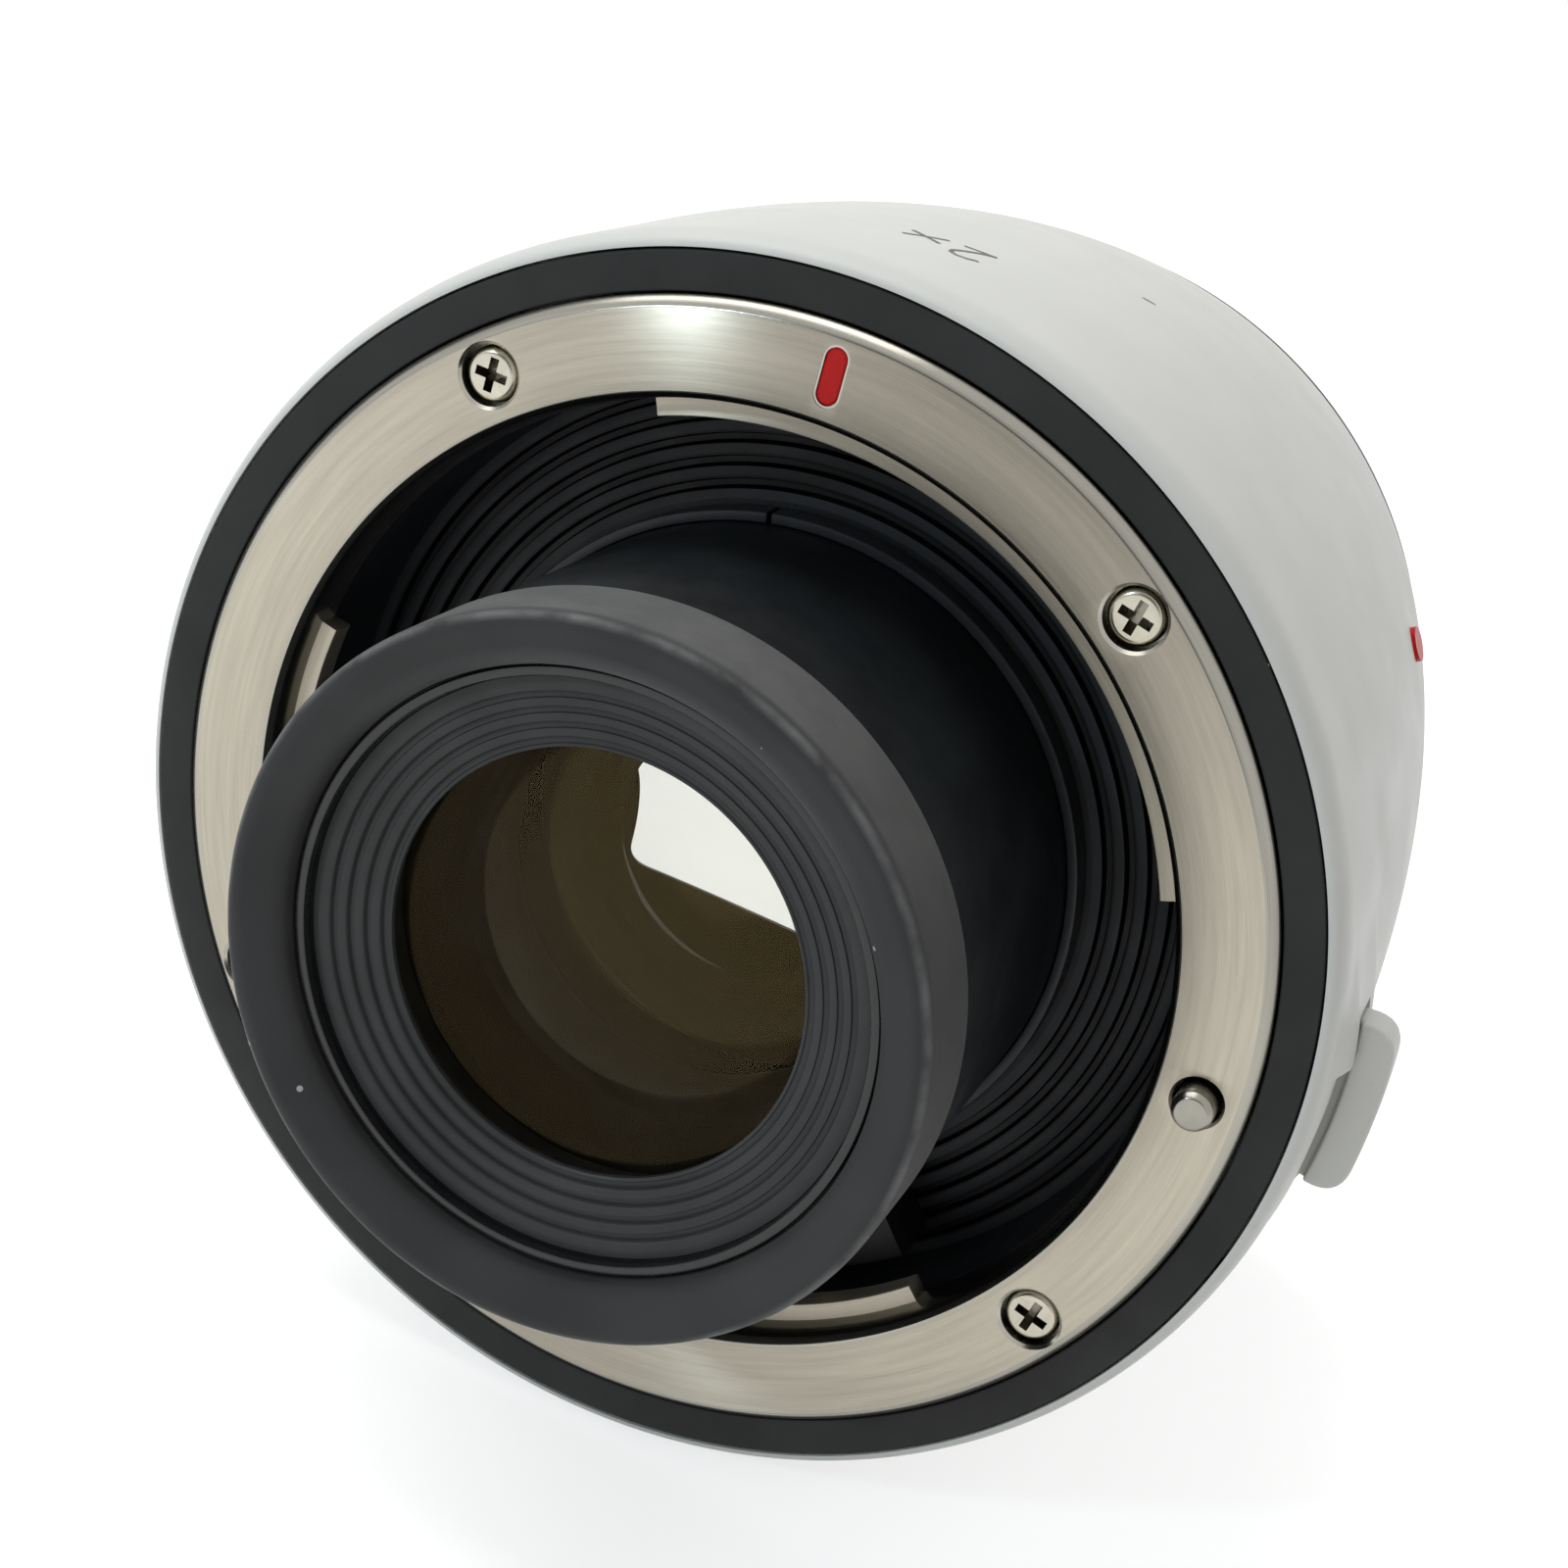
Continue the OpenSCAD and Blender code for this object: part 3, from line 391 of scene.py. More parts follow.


# rubber colours; the dust colour is also painted light: the top of the bumper is painted lighter, as if lit
# from above
rubber = {"low": (0.022, 0.022, 0.0225), "high": (0.036, 0.036, 0.0365), "worn": (0.13, 0.13, 0.13),
          "dust": (0.105, 0.107, 0.106), "grain": (0.4, 0.4, 0.38), "lipRadius": (0.01895, 0.01925),
          "lipHeight": (0.0727, 0.0730), "upFrom": (0.007, 0.0195), "sideTo": (0.0728, 0.0722)}


def makeRubber():
    finish, tree, shader = startFinish("bumperRubber")
    point = objectPoint(tree)
    radius, height, parts = polar(tree)
    colour = blendColour(tree, mottle(tree, point, 210, detail=5), rubber["low"], rubber["high"])
    near = math2(tree, "MULTIPLY", span(tree, radius, *rubber["lipRadius"]),
                 span(tree, height, *rubber["lipHeight"]))
    chafed = math2(tree, "MULTIPLY", near, span(tree, noise(tree, point, 330, 4), 0.35, 0.62))
    colour = blendColour(tree, chafed, colour, rubber["worn"])
    # painted light: the upward side of the bumper is painted lighter, as if lit from above, with dust laid on
    # it
    upward = math2(tree, "MULTIPLY", span(tree, parts[2], *rubber["upFrom"]),
                   span(tree, height, *rubber["sideTo"]))
    topLightAndDust = math2(tree, "MULTIPLY", upward, span(tree, noise(tree, point, 260, 5), 0.25, 0.6, 0.55, 1.0))
    colour = blendColour(tree, topLightAndDust, colour, rubber["dust"])
    colour = blendColour(tree, specks(tree, 620, 0.03), colour, rubber["grain"])
    plug(shader, "Base Color", colour)
    plug(shader, "Roughness", mottle(tree, point, 420, 0.58, 0.72))
    plug(shader, "Sheen Weight", 0.06)
    plug(shader, "Specular IOR Level", 0.3)
    bump(tree, shader, noise(tree, point, 3200, 3), 0.35, 0.00005)
    return finish


# groove colours: low is the painted shade in the grooves, high the painted sheen on the lands
grooves = {"first": 20.7, "pitch": 1.3, "wide": 0.55, "low": (0.0025, 0.0028, 0.003),
           "high": (0.022, 0.0255, 0.030)}


def makeBaffle():  # painted light: the lands between the grooves are paler than the grooves, a painted sheen, and the grooves are a painted shade
    finish, tree, shader = startFinish("baffleBlack")
    point = objectPoint(tree)
    beyond = math2(tree, "SUBTRACT", polar(tree)[0], grooves["first"] * mm)
    turns = math2(tree, "DIVIDE", beyond, grooves["pitch"] * mm)
    land = span(tree, math2(tree, "FRACT", turns), grooves["wide"], grooves["wide"] + 0.04)
    patch = math2(tree, "MULTIPLY", land, span(tree, noise(tree, point, 130, 4), 0.2, 0.7, 0.6, 1.0))
    colour = blendColour(tree, patch, grooves["low"], grooves["high"])
    colour = blendColour(tree, specks(tree, 700, 0.004), colour, dustGrain)
    plug(shader, "Base Color", colour)
    plug(shader, "Roughness", mottle(tree, point, 300, 0.42, 0.54))
    plug(shader, "Specular IOR Level", 0.25)
    bump(tree, shader, noise(tree, point, 2600, 2), 0.35, 0.00003)
    return finish


paint = makeWhitePaint()
trimBlack = makeBlack("trimBlack", (0.016, 0.016, 0.0155), (0.026, 0.026, 0.0255),
                      0.55, 4200, 0.00003, 0.006)
barrelBlack = makeBlack("barrelBlack", (0.006, 0.0075, 0.009), (0.013, 0.016, 0.0185),
                        0.46, 3600, 0.00003, 0.008, 520)
funnelBlack = makeBlack("funnelBlack", (0.030, 0.031, 0.031), (0.046, 0.047, 0.047),
                        0.5, 3000, 0.00003, 0.012, 650)
baffleBlack = makeBaffle()
rearBlack = makeBlack("rearBlack", (0.0035, 0.004, 0.0042), (0.007, 0.0075, 0.008),
                      0.5, 2600, 0.00003, 0.004)
blockBlack = makeBlack("blockBlack", (0.006, 0.006, 0.007), (0.012, 0.012, 0.013),
                       0.45, 2600, 0.00004)
sealBlack = makeBlack("sealBlack", (0.014, 0.014, 0.014), (0.022, 0.022, 0.022), 0.7, 2600, 0.00006)
ringGrey = makeBlack("ringGrey", (0.020, 0.022, 0.025), (0.036, 0.038, 0.042), 0.35, 2600, 0.00003)
rimGloss = makeGloss("rimGloss", (0.008, 0.008, 0.009), (0.015, 0.015, 0.016), 0.2)
redEnamel = makeGloss("redEnamel", (0.52, 0.010, 0.010), (0.64, 0.014, 0.013), 0.22, shine=0.15)
greyInk = makeGloss("greyInk", (0.10, 0.10, 0.095), (0.15, 0.15, 0.14), 0.5)
# painted reflection: olive brown on the bore walls and spacers, standing in for the brown reflection in the
# glass
boreBrownReflection = makeBlack("boreBrownReflection", (0.016, 0.012, 0.006), (0.028, 0.022, 0.011),
                      0.55, 900, 0.0001, strength=0.1)
# painted reflection: red-brown on the rear cell and its ring, standing in for the red-brown band seen in the
# glass
boreRedReflection = makeBlack("boreRedReflection", (0.05, 0.016, 0.014), (0.085, 0.028, 0.024),
                    0.5, 900, 0.0001, strength=0.1)
edgePale = makeGloss("edgePale", (0.10, 0.085, 0.05), (0.16, 0.14, 0.09), 0.3)
edgeDark = makeBlack("edgeDark", (0.014, 0.011, 0.005), (0.022, 0.017, 0.008),
                     0.6, 900, 0.0001, strength=0.1)
steelFace = makeTurnedSteel("steelFace", turnedSteel["low"], turnedSteel["high"], turnedSteel["rough"],
                            turnedSteel["stretch"])
steelEdgeShaded = makeTurnedSteel("steelEdgeShaded", turnedSteel["edgeLow"], turnedSteel["edgeHigh"], 0.2, 0.3)
boreSteel = makeMetal("boreSteel", (0.36, 0.34, 0.295), (0.48, 0.46, 0.405), 0.24)
screwSteel = makeMetal("screwSteel", (0.42, 0.39, 0.31), (0.56, 0.53, 0.44), 0.22)
# painted shade: the cross recess of each screw is a darker steel
recessShadedSteel = makeMetal("recessShadedSteel", (0.18, 0.165, 0.13), (0.32, 0.30, 0.25), 0.25)
pinSteel = makeMetal("pinSteel", (0.28, 0.265, 0.228), (0.35, 0.335, 0.293), 0.26)
springSteel = makeMetal("springSteel", (0.42, 0.42, 0.41), (0.55, 0.55, 0.54), 0.25)
gold = makeMetal("gold", (0.74, 0.52, 0.19), (0.86, 0.64, 0.27), 0.2)
brass = makeMetal("brass", (0.55, 0.42, 0.18), (0.66, 0.52, 0.24), 0.3)
boardGreen = makeGloss("boardGreen", (0.01, 0.10, 0.04), (0.02, 0.16, 0.07), 0.35)
filmAmber = makeGloss("filmAmber", (0.40, 0.19, 0.03), (0.50, 0.26, 0.05), 0.25)
glassTint = (0.917, 0.917, 0.898)
glassCoat = (0.15, 0.11, 0.04)
print("finishes made:", len(bpy.data.materials))

# white body
body = {"radius": 35.9, "rearRadius": 31.8, "taperFrom": 44, "rearDeck": 2, "deckRadius": 31.2, "bore": 25.5,
        "rimFrom": 54.2, "rim": 0.9, "rimLong": 2.2, "front": 35.0, "inside": [
            (35.0, 54.4), (32.7, 54.4), (32.7, 53.8), (28.4, 53.8), (28.4, 52), (33.3, 52), (33.3, 33.5),
            (30.5, 33.5), (30.5, 19), (25.5, 8)],
        "fairing": 0.8, "fairingShift": 15.6, "fairingClock": 89.15, "fairingFrom": 33.5,
        "fairingSteps": ((39.7, 1.2), (46.7, 0), (52.4, 0), (55.8, 1.1)), "liftFrom": 34.5, "liftTo": 56}
slot = {"inner": 31.6, "outer": 46, "low": 48.2, "top": 51.6, "from": 80.6, "sweep": 21.6}
recess = {"inner": 36.0, "outer": 46, "low": 51.2, "top": 58, "from": 84.8, "sweep": 17.4}


def taperRadius(z):
    rise = body["taperFrom"] - body["rearDeck"]
    drop = body["radius"] - body["rearRadius"]
    bend = (rise * rise + drop * drop) / (2 * drop)
    return body["radius"] - (bend - math.sqrt(bend * bend - (body["taperFrom"] - z) ** 2))


def fairingReach(z):  # the drum round the lever, as in the solid
    far = body["radius"] + body["fairing"] - body["fairingShift"]
    marks = [(z1, far - less) for z1, less in body["fairingSteps"]]
    if z < marks[0][0] or z > marks[-1][0]:
        return 0
    for (z1, r1), (z2, r2) in zip(marks, marks[1:]):
        if z <= z2:
            t = (z - z1) / (z2 - z1)
            return r1 + (r2 - r1) * t
    return 0


def fairingLift(r, z, clock):
    if r < body["fairingFrom"]:
        return 0
    away = math.radians(clock - body["fairingClock"])
    if math.cos(away) < 0.4:
        return 0
    drum = fairingReach(z)
    if drum == 0:
        return 0
    side = body["fairingShift"] * math.sin(away)
    over = body["fairingShift"] * math.cos(away) + math.sqrt(drum * drum - side * side) - r
    return 0.5 * (over + math.sqrt(over * over + 0.02)) - 0.02 if over > -0.1 else 0


rise = body["taperFrom"] - body["rearDeck"]
outline = [(body["bore"], body["rearDeck"]), (body["deckRadius"], body["rearDeck"])]
for i in range(41):
    z = body["rearDeck"] + rise * i / 40
    outline.append((taperRadius(z), z))
for i in range(1, 25):
    outline.append((body["radius"], body["taperFrom"] + (body["rimFrom"] - body["taperFrom"]) * i / 24))
for i in range(1, 13):
    angle = math.radians(7.5 * i)
    outline.append((body["front"] + body["rim"] * math.cos(angle),
                    body["rimFrom"] + body["rimLong"] * math.sin(angle)))
outline += body["inside"]


def keepInside(r, z, clock):
    return fairingLift(r, z, clock) if z < body["liftTo"] and r > body["liftFrom"] else 0


barrel = spin("bodyShell", outline, [paint], 480, lift=keepInside, sharp=38)
for name, cut in (("slotCut", slot), ("recessCut", recess)):
    room = box(cut["inner"], cut["outer"], cut["low"], cut["top"])
    carve(barrel, spin(name, room, [paint], 24, cut["from"], cut["sweep"]), 38)
stand(barrel, "housing", "white_paint", "main_barrel")
print("white body done")

# rear red dot
dot = {"clock": 59.5, "height": 20.7, "radius": 1.1, "proud": 0.1, "deep": 0.35, "soft": 0.12}


def surfaceTurn(clock, height, radius):  # own axis points out of the surface
    place = Matrix.Translation(spot(radius, clock, height))
    return place @ Matrix.Rotation(math.radians(clock), 4, "Y") @ Matrix.Rotation(math.radians(90), 4, "X")


dotRadius = taperRadius(dot["height"])
dotProfile = roundCorners([(0, -dot["deep"]), (dot["radius"], -dot["deep"]),
                           (dot["radius"], dot["proud"], dot["soft"]), (0, dot["proud"])])
dotPlace = surfaceTurn(dot["clock"], dot["height"], dotRadius)
rearDot = spin("rearDot", dotProfile, [redEnamel], 48, centre=dotPlace)
stand(rearDot, "housing", "red_enamel", "rear_index_mark")

# black trim ring
trim = {"inner": 32.72, "outer": 34.88, "low": 54.42, "top": 56.4, "soft": 0.15}
trimRing = spin("trimRing", roundCorners([(trim["inner"], trim["low"]), (trim["outer"], trim["low"]),
                                          (trim["outer"], trim["top"], trim["soft"]),
                                          (trim["inner"], trim["top"], trim["soft"])]), [trimBlack], 480)
stand(trimRing, "housing", "black_paint", "front_trim_ring")

# turned steel mount ring
mount = {"outline": [(27.0, 53.8), (32.6, 53.8), (32.6, 56.4), (32.52, 56.55), (32.08, 56.95), (31.95, 57.0),
                     (27.66, 57.0), (27.55, 56.95), (27.3, 56.65), (27.22, 56.5), (27.0, 55.0)],
         "seatSide": 5, "tabs": ((-21.2, 69.2), (135.4, 180), (-122, -77.7)),
         "tab": (26.0, 27.15, 53.4, 55.0, 0.12), "leaf": (26.25, 26.9, 53.0, 53.4, 0.06), "leafShort": 4,
         "screws": {-38.2: 2, 38.3: 12, 122: 13, -122: 35}, "screwRing": 30.1, "screwSeat": 55.25,
         "headRadius": 1.58, "headHigh": 1.45, "headGap": 0.12, "chamfer": 0.22, "shankHole": 1.15,
         "shankLong": 6.7, "low": 53, "high": 58, "edge": 57.05, "pinClock": 89.5, "pinRing": 29.9,
         "pinHole": 1.37, "pinChamfer": 0.18, "pinLip": 56.85}
mark = {"low": 28.4, "high": 31.5, "wide": 1.24, "floor": 56.6, "rimFloor": 56.94, "above": 57.5,
        "rimGrow": 0.13, "cutGrow": 0.01, "pillGrow": -0.02, "pillLow": 56.62, "pillTop": 56.96, "soft": 0.1}


def mountPick(k, points):  # the flat seat is turned, the chamfers and the wall are polished and take a darker colour as painted shade
    return 0 if k == mount["seatSide"] else 1


ringFinishes = [steelFace, steelEdgeShaded, boreSteel]
ring = spin("mountRing", mount["outline"], ringFinishes, 480, pick=mountPick, sharp=25)
low = mount["low"]
high = mount["high"]
edge = mount["edge"]
seat = mount["screwSeat"]
wide = mount["headRadius"] + mount["headGap"]
mouth = wide + mount["chamfer"]
hole = [(0, low), (mount["shankHole"], low), (mount["shankHole"], seat), (wide, seat),
        (wide, edge - mount["chamfer"]), (mouth, edge), (mouth, high), (0, high)]
holes = holesAt(roundCorners(hole), mount["screws"], mount["screwRing"], 64, 2)
wide = mount["pinHole"]
mouth = wide + mount["pinChamfer"]
hole = [(0, low), (wide, low), (wide, mount["pinLip"]), (mouth, edge), (mouth, high), (0, high)]
holes += holesAt(hole, [mount["pinClock"]], mount["pinRing"], 64, 2)
ring = carve(ring, spinMany("holes", holes, ringFinishes), 25)


def pillMesh(name, grow, low, high, soft, finishes, index=0):
    half = mark["wide"] / 2 + grow
    bottom = mark["low"] - grow
    top = mark["high"] + grow
    points = []
    for middle, first in ((top - half, 0), (bottom + half, 180)):
        for degrees in range(first, first + 181, 12):
            angle = math.radians(degrees)
            points.append((half * math.cos(angle), middle + half * math.sin(angle)))
    form = bmesh.new()
    levels = [(low, 0), (high - soft, 0), (high, -soft)] if soft else [(low, 0), (high, 0)]
    middle = (top + bottom) / 2
    loops = []
    for z, inset in levels:
        narrow = (half + inset) / half
        short = 1 + inset / half * 0.5
        loops.append([form.verts.new(Vector((x * narrow, -z, middle + (y - middle) * short)) * mm)
                      for x, y in points])
    skin(form, loops, index)
    return addObject(name, closeForm(name, form, 30), finishes)


for name, grow, bottom in (("pillRim", mark["rimGrow"], mark["rimFloor"]),
                           ("pillCut", mark["cutGrow"], mark["floor"])):
    ring = carve(ring, pillMesh(name, grow, bottom, mark["above"], 0, ringFinishes, 2), 25)
tabs = arcs(box(*mount["tab"]), mount["tabs"], 90)
unite(ring, spinMany("tabForm", tabs, ringFinishes, sharp=25), 25)
stand(ring, "housing", "mount_steel", "front_mount_ring")
pill = pillMesh("redPill", mark["pillGrow"], mark["pillLow"], mark["pillTop"], mark["soft"], [redEnamel])
stand(pill, "housing", "red_enamel", "front_index_mark")
leaves = arcs(box(*mount["leaf"]), mount["tabs"], 60, short=mount["leafShort"])
leafSprings = spinMany("leafSprings", leaves, [springSteel])
stand(leafSprings, "housing", "spring_steel", "bayonet_leaf_springs")
print("front mount done")

# screws: one cross-head screw, set on points by a node tree
screw = {"head": 1.55, "headHigh": 1.1, "shank": 1.0, "long": 0.64, "wide": 0.17, "deep": 0.75,
         "taperLong": 0.6, "taperWide": 0.7}


def screwForm(name, head, headHigh, shank, shankLong):
    profile = roundCorners([(0, -shankLong), (shank, -shankLong, 0.15), (shank, 0), (head, 0),
                            (head, headHigh * 0.72, 0.2), (head * 0.84, headHigh, 0.2), (0, headHigh)], 4)
    piece = spin(name, profile, [screwSteel, recessShadedSteel], 64)
    for angle in (0, 90):  # one bar of the cross at a time
        rotation = Matrix.Rotation(math.radians(angle), 4, "Y")
        form = bmesh.new()
        corners = []
        long = head * screw["long"]
        wide = head * screw["wide"]
        levels = ((headHigh + 0.2, long, wide),
                  (headHigh * (1 - screw["deep"]), long * screw["taperLong"], wide * screw["taperWide"]))
        for z, long, wide in levels:
            corners.append([form.verts.new(rotation @ (Vector((x * long, -z, y * wide)) * mm))
                            for x, y in ((-1, -1), (1, -1), (1, 1), (-1, 1))])
        skin(form, corners, 1)
        carve(piece, addObject("crossBar", closeForm("crossBar", form, 28), [screwSteel, recessShadedSteel]), 28)
    marked = piece.data.attributes.new("recess", "BOOLEAN", "FACE")
    for face in piece.data.polygons:
        marked.data[face.index].value = face.material_index == 1
    return piece


# places: clock, radius, height, own turn
def setOnPoints(name, piece, places, flip, finish, deepFinish=None):
    tree = bpy.data.node_groups.new(name + "Tree", "GeometryNodeTree")
    tree.interface.new_socket("Geometry", in_out="INPUT", socket_type="NodeSocketGeometry")
    tree.interface.new_socket("Size", in_out="INPUT", socket_type="NodeSocketFloat")
    tree.interface.new_socket("Geometry", in_out="OUTPUT", socket_type="NodeSocketGeometry")
    start = tree.nodes.new("NodeGroupInput").outputs
    info = addNode(tree, "GeometryNodeObjectInfo", None, Object=piece)
    turned = addNode(tree, "GeometryNodeInputNamedAttribute", {"data_type": "FLOAT_VECTOR"}, Name="turn")
    settle = addNode(tree, "GeometryNodeInstanceOnPoints", None, Points=start["Geometry"],
                     Instance=info.outputs["Geometry"], Rotation=turned.outputs["Attribute"],
                     Scale=start["Size"])
    real = addNode(tree, "GeometryNodeRealizeInstances", None, Geometry=settle.outputs["Instances"])
    coat = addNode(tree, "GeometryNodeSetMaterial", None, Geometry=real.outputs["Geometry"], Material=finish)
    if deepFinish:  # faces marked as recess take the darker finish, a painted shade in the cross recess
        marked = addNode(tree, "GeometryNodeInputNamedAttribute", {"data_type": "BOOLEAN"}, Name="recess")
        coat = addNode(tree, "GeometryNodeSetMaterial", None, Geometry=coat.outputs["Geometry"],
                       Selection=marked.outputs["Attribute"], Material=deepFinish)
    addNode(tree, "NodeGroupOutput", None, Geometry=coat.outputs["Geometry"])
    mesh = bpy.data.meshes.new(name)
    mesh.from_pydata([spot(radius, clock, height) for clock, radius, height, own in places], [], [])
    turns = mesh.attributes.new("turn", "FLOAT_VECTOR", "POINT")
    for i, (clock, radius, height, own) in enumerate(places):
        turns.data[i].vector = (math.pi if flip else 0, math.radians(own), 0)
    holder = bpy.data.objects.new(name, mesh)
    bpy.context.scene.collection.objects.link(holder)
    step = holder.modifiers.new("set", "NODES")
    step.node_group = tree
    for item in tree.interface.items_tree:
        if item.name == "Size":
            step[item.identifier] = 1.0
    bake(holder, 28)
    bpy.data.objects.remove(piece)
    return holder


frontPlaces = [(clock, mount["screwRing"], mount["screwSeat"], own) for clock, own in mount["screws"].items()]
frontScrew = screwForm("oneScrew", mount["headRadius"], mount["headHigh"], screw["shank"], mount["shankLong"])
frontScrews = setOnPoints("frontScrews", frontScrew, frontPlaces, False, screwSteel, recessShadedSteel)
stand(frontScrews, "housing", "bright_steel", "front_mount_screws")

# lock pin
pin = {"clock": 89.5, "ring": 29.9, "outline": [
    (0, 40.6), (0.8, 40.6), (0.8, 45.8), (1.5, 45.8), (1.5, 46.6), (0.8, 46.6), (0.8, 54.2), (1.15, 54.2),
    (1.15, 58.15, 0.08), (0.88, 58.5, 0.1), (0, 58.5)]}
lockPin = spin("lockPin", roundCorners(pin["outline"], 3), [pinSteel], 64,
               centre=at(pin["clock"], pin["ring"]), sharp=40)
stand(lockPin, "lock", "bright_steel", "lock_pin")

# release lever: rounded tab, neck and foot
lever = {"from": 81.3, "to": 97, "inner": 33.2, "outer": 38.53, "low": 48.7, "top": 51.2, "corner": 1.875,
         "soft": 0.3, "grooveFrom": 30, "grooveTo": 36.45, "grooveDeep": 0.5,
         "foot": (31.6, 33.4, 48.75, 50.68, 0.1), "footFrom": 81.4, "footSweep": 15.5}


def leverForm():
    form = bmesh.new()
    arc = math.radians(lever["to"] - lever["from"]) * lever["outer"] / 2
    middle = (lever["from"] + lever["to"]) / 2
    reach = lever["outer"] - lever["inner"]
    corner = lever["corner"]
    flat = roundCorners([(-arc, 0), (arc, 0), (arc, reach, corner), (-arc, reach, corner)], 8)
    dense = []
    for i, point in enumerate(flat):  # long sides get points, so that they follow the body's curve
        after = flat[(i + 1) % len(flat)]
        many = max(1, int((after - point).length / 0.8))
        dense += [point + (after - point) * k / many for k in range(many)]
    loops = []
    for z in (lever["low"], lever["top"]):
        places = [(lever["inner"] + p.y, middle + math.degrees(p.x / lever["outer"])) for p in dense]
        loops.append([form.verts.new(spot(radius, clock, z)) for radius, clock in places])
    skin(form, loops)
    piece = addObject("leverTab", closeForm("leverTab", form, 180), [paint])
    groove = box(lever["grooveFrom"], lever["grooveTo"], lever["top"] - lever["grooveDeep"], lever["top"] + 1)
    carve(piece, spin("grooveCut", groove, [paint], 24, lever["from"] - 6, 28), 40)
    soften = piece.modifiers.new("soft", "BEVEL")
    soften.width = lever["soft"] * mm
    soften.segments = 4
    soften.limit_method = "ANGLE"
    soften.angle_limit = math.radians(50)
    bake(piece, 40)
    foot = spinMany("foot", [{"outline": box(*lever["foot"]), "start": lever["footFrom"],
                              "sweep": lever["footSweep"], "steps": 24}], [paint])
    return unite(piece, foot, 40)


leverTab = leverForm()
stand(leverTab, "lever", "white_paint", "release_lever")
print("lock and lever done")

# throat: grooved floor, wall, split ring, contact block and pins
throat = {"inner": 19.15, "outer": 27.9, "wall": 0.7, "floor": 46.6, "under": 45.1, "top": 53.75,
          "first": 20.7, "grooves": 5, "bottom": 46.0, "soft": 0.06, "ring": (19.16, 19.8, 46.62, 48.4, 0.15),
          "ringFrom": -11.5, "ringSweep": 359}
inside = throat["outer"] - throat["wall"]
pitch = (inside - throat["first"]) / throat["grooves"]
cup = [(throat["inner"], throat["under"]), (throat["outer"], throat["under"]),
       (throat["outer"], throat["top"]), (inside, throat["top"]), (inside, throat["floor"])]
for i in reversed(range(throat["grooves"])):
    r = throat["first"] + pitch * i
    cup += [(r + pitch * 0.45, throat["floor"], throat["soft"]), (r + pitch * 0.35, throat["bottom"]),
            (r + pitch * 0.1, throat["bottom"]), (r, throat["floor"], throat["soft"])]
cup += [(throat["inner"], throat["floor"])]
throatCup = spin("throatCup", roundCorners(cup, 3), [baffleBlack], 360, sharp=28)
stand(throatCup, "housing", "black_plastic", "throat_baffle")
baseRing = spin("splitRing", box(*throat["ring"]), [ringGrey], 300, throat["ringFrom"], throat["ringSweep"])
stand(baseRing, "housing", "grey_ring", "barrel_base_ring")

contact = {"ring": 23.5, "pitch": 6.4, "count": 10,
           "block": (21.4, 25.6, 46.62, 51.2, 0.3), "blockFrom": 139, "blockSweep": 82,
           "bore": [(0, 46), (0.85, 46), (0.85, 50.4), (0.55, 50.4), (0.55, 52), (0, 52)],
           "pin": [(0, 48.2), (0.3, 48.2), (0.3, 49.6), (0.75, 49.6), (0.75, 50.35), (0.5, 50.35),
                   (0.5, 52.4, 0.3), (0, 52.4)]}
contactClocks = [180 + contact["pitch"] * (i - (contact["count"] - 1) / 2) for i in range(contact["count"])]
block = spin("contactBlock", box(*contact["block"]), [blockBlack], 90, contact["blockFrom"],
             contact["blockSweep"])
bores = holesAt(contact["bore"], contactClocks, contact["ring"], 32)
carve(block, spinMany("bores", bores, [blockBlack]))
stand(block, "housing", "black_plastic", "front_contact_block")
for i, clock in enumerate(contactClocks, 1):
    onePin = spin("contactPin%d" % i, roundCorners(contact["pin"], 4), [gold], 32,
                  centre=at(clock, contact["ring"]), sharp=40)
    stand(onePin, "contact_%d" % i, "contact_gold", "contact_pin_%d" % i)
print("throat done")

# lens barrel, bumper, rim and ridged funnel
tube = {"outline": [(17.05, 33.5), (33.0, 33.5), (33.0, 35.5), (20.6, 35.5), (20.6, 45.08), (19.1, 45.08),
                    (19.1, 67.1), (17.4, 67.1), (17.4, 70.6), (15.7, 70.6), (15.7, 67.95), (13.55, 67.95),
                    (13.55, 37.52), (12.3, 37.52), (12.3, 34.78), (17.05, 34.78)],
        "boreSides": (11, 12, 13, 14),
        "bumper": [(17.45, 67.12), (19.36, 67.12, 0.12), (19.45, 67.5), (19.45, 72.75, 0.25),
                   (19.2, 73.2, 0.25), (18.6, 73.3, 0.3), (16.9, 72.45, 0.4), (16.45, 71.9, 0.3),
                   (16.45, 70.64), (17.45, 70.64)],
        "rim": (15.75, 16.3, 70.62, 71.4, 0.16)}


def tubePick(k, points):  # painted reflection: the bore is painted brown, standing in for the brown reflection seen in the glass
    return 1 if k in tube["boreSides"] else 0


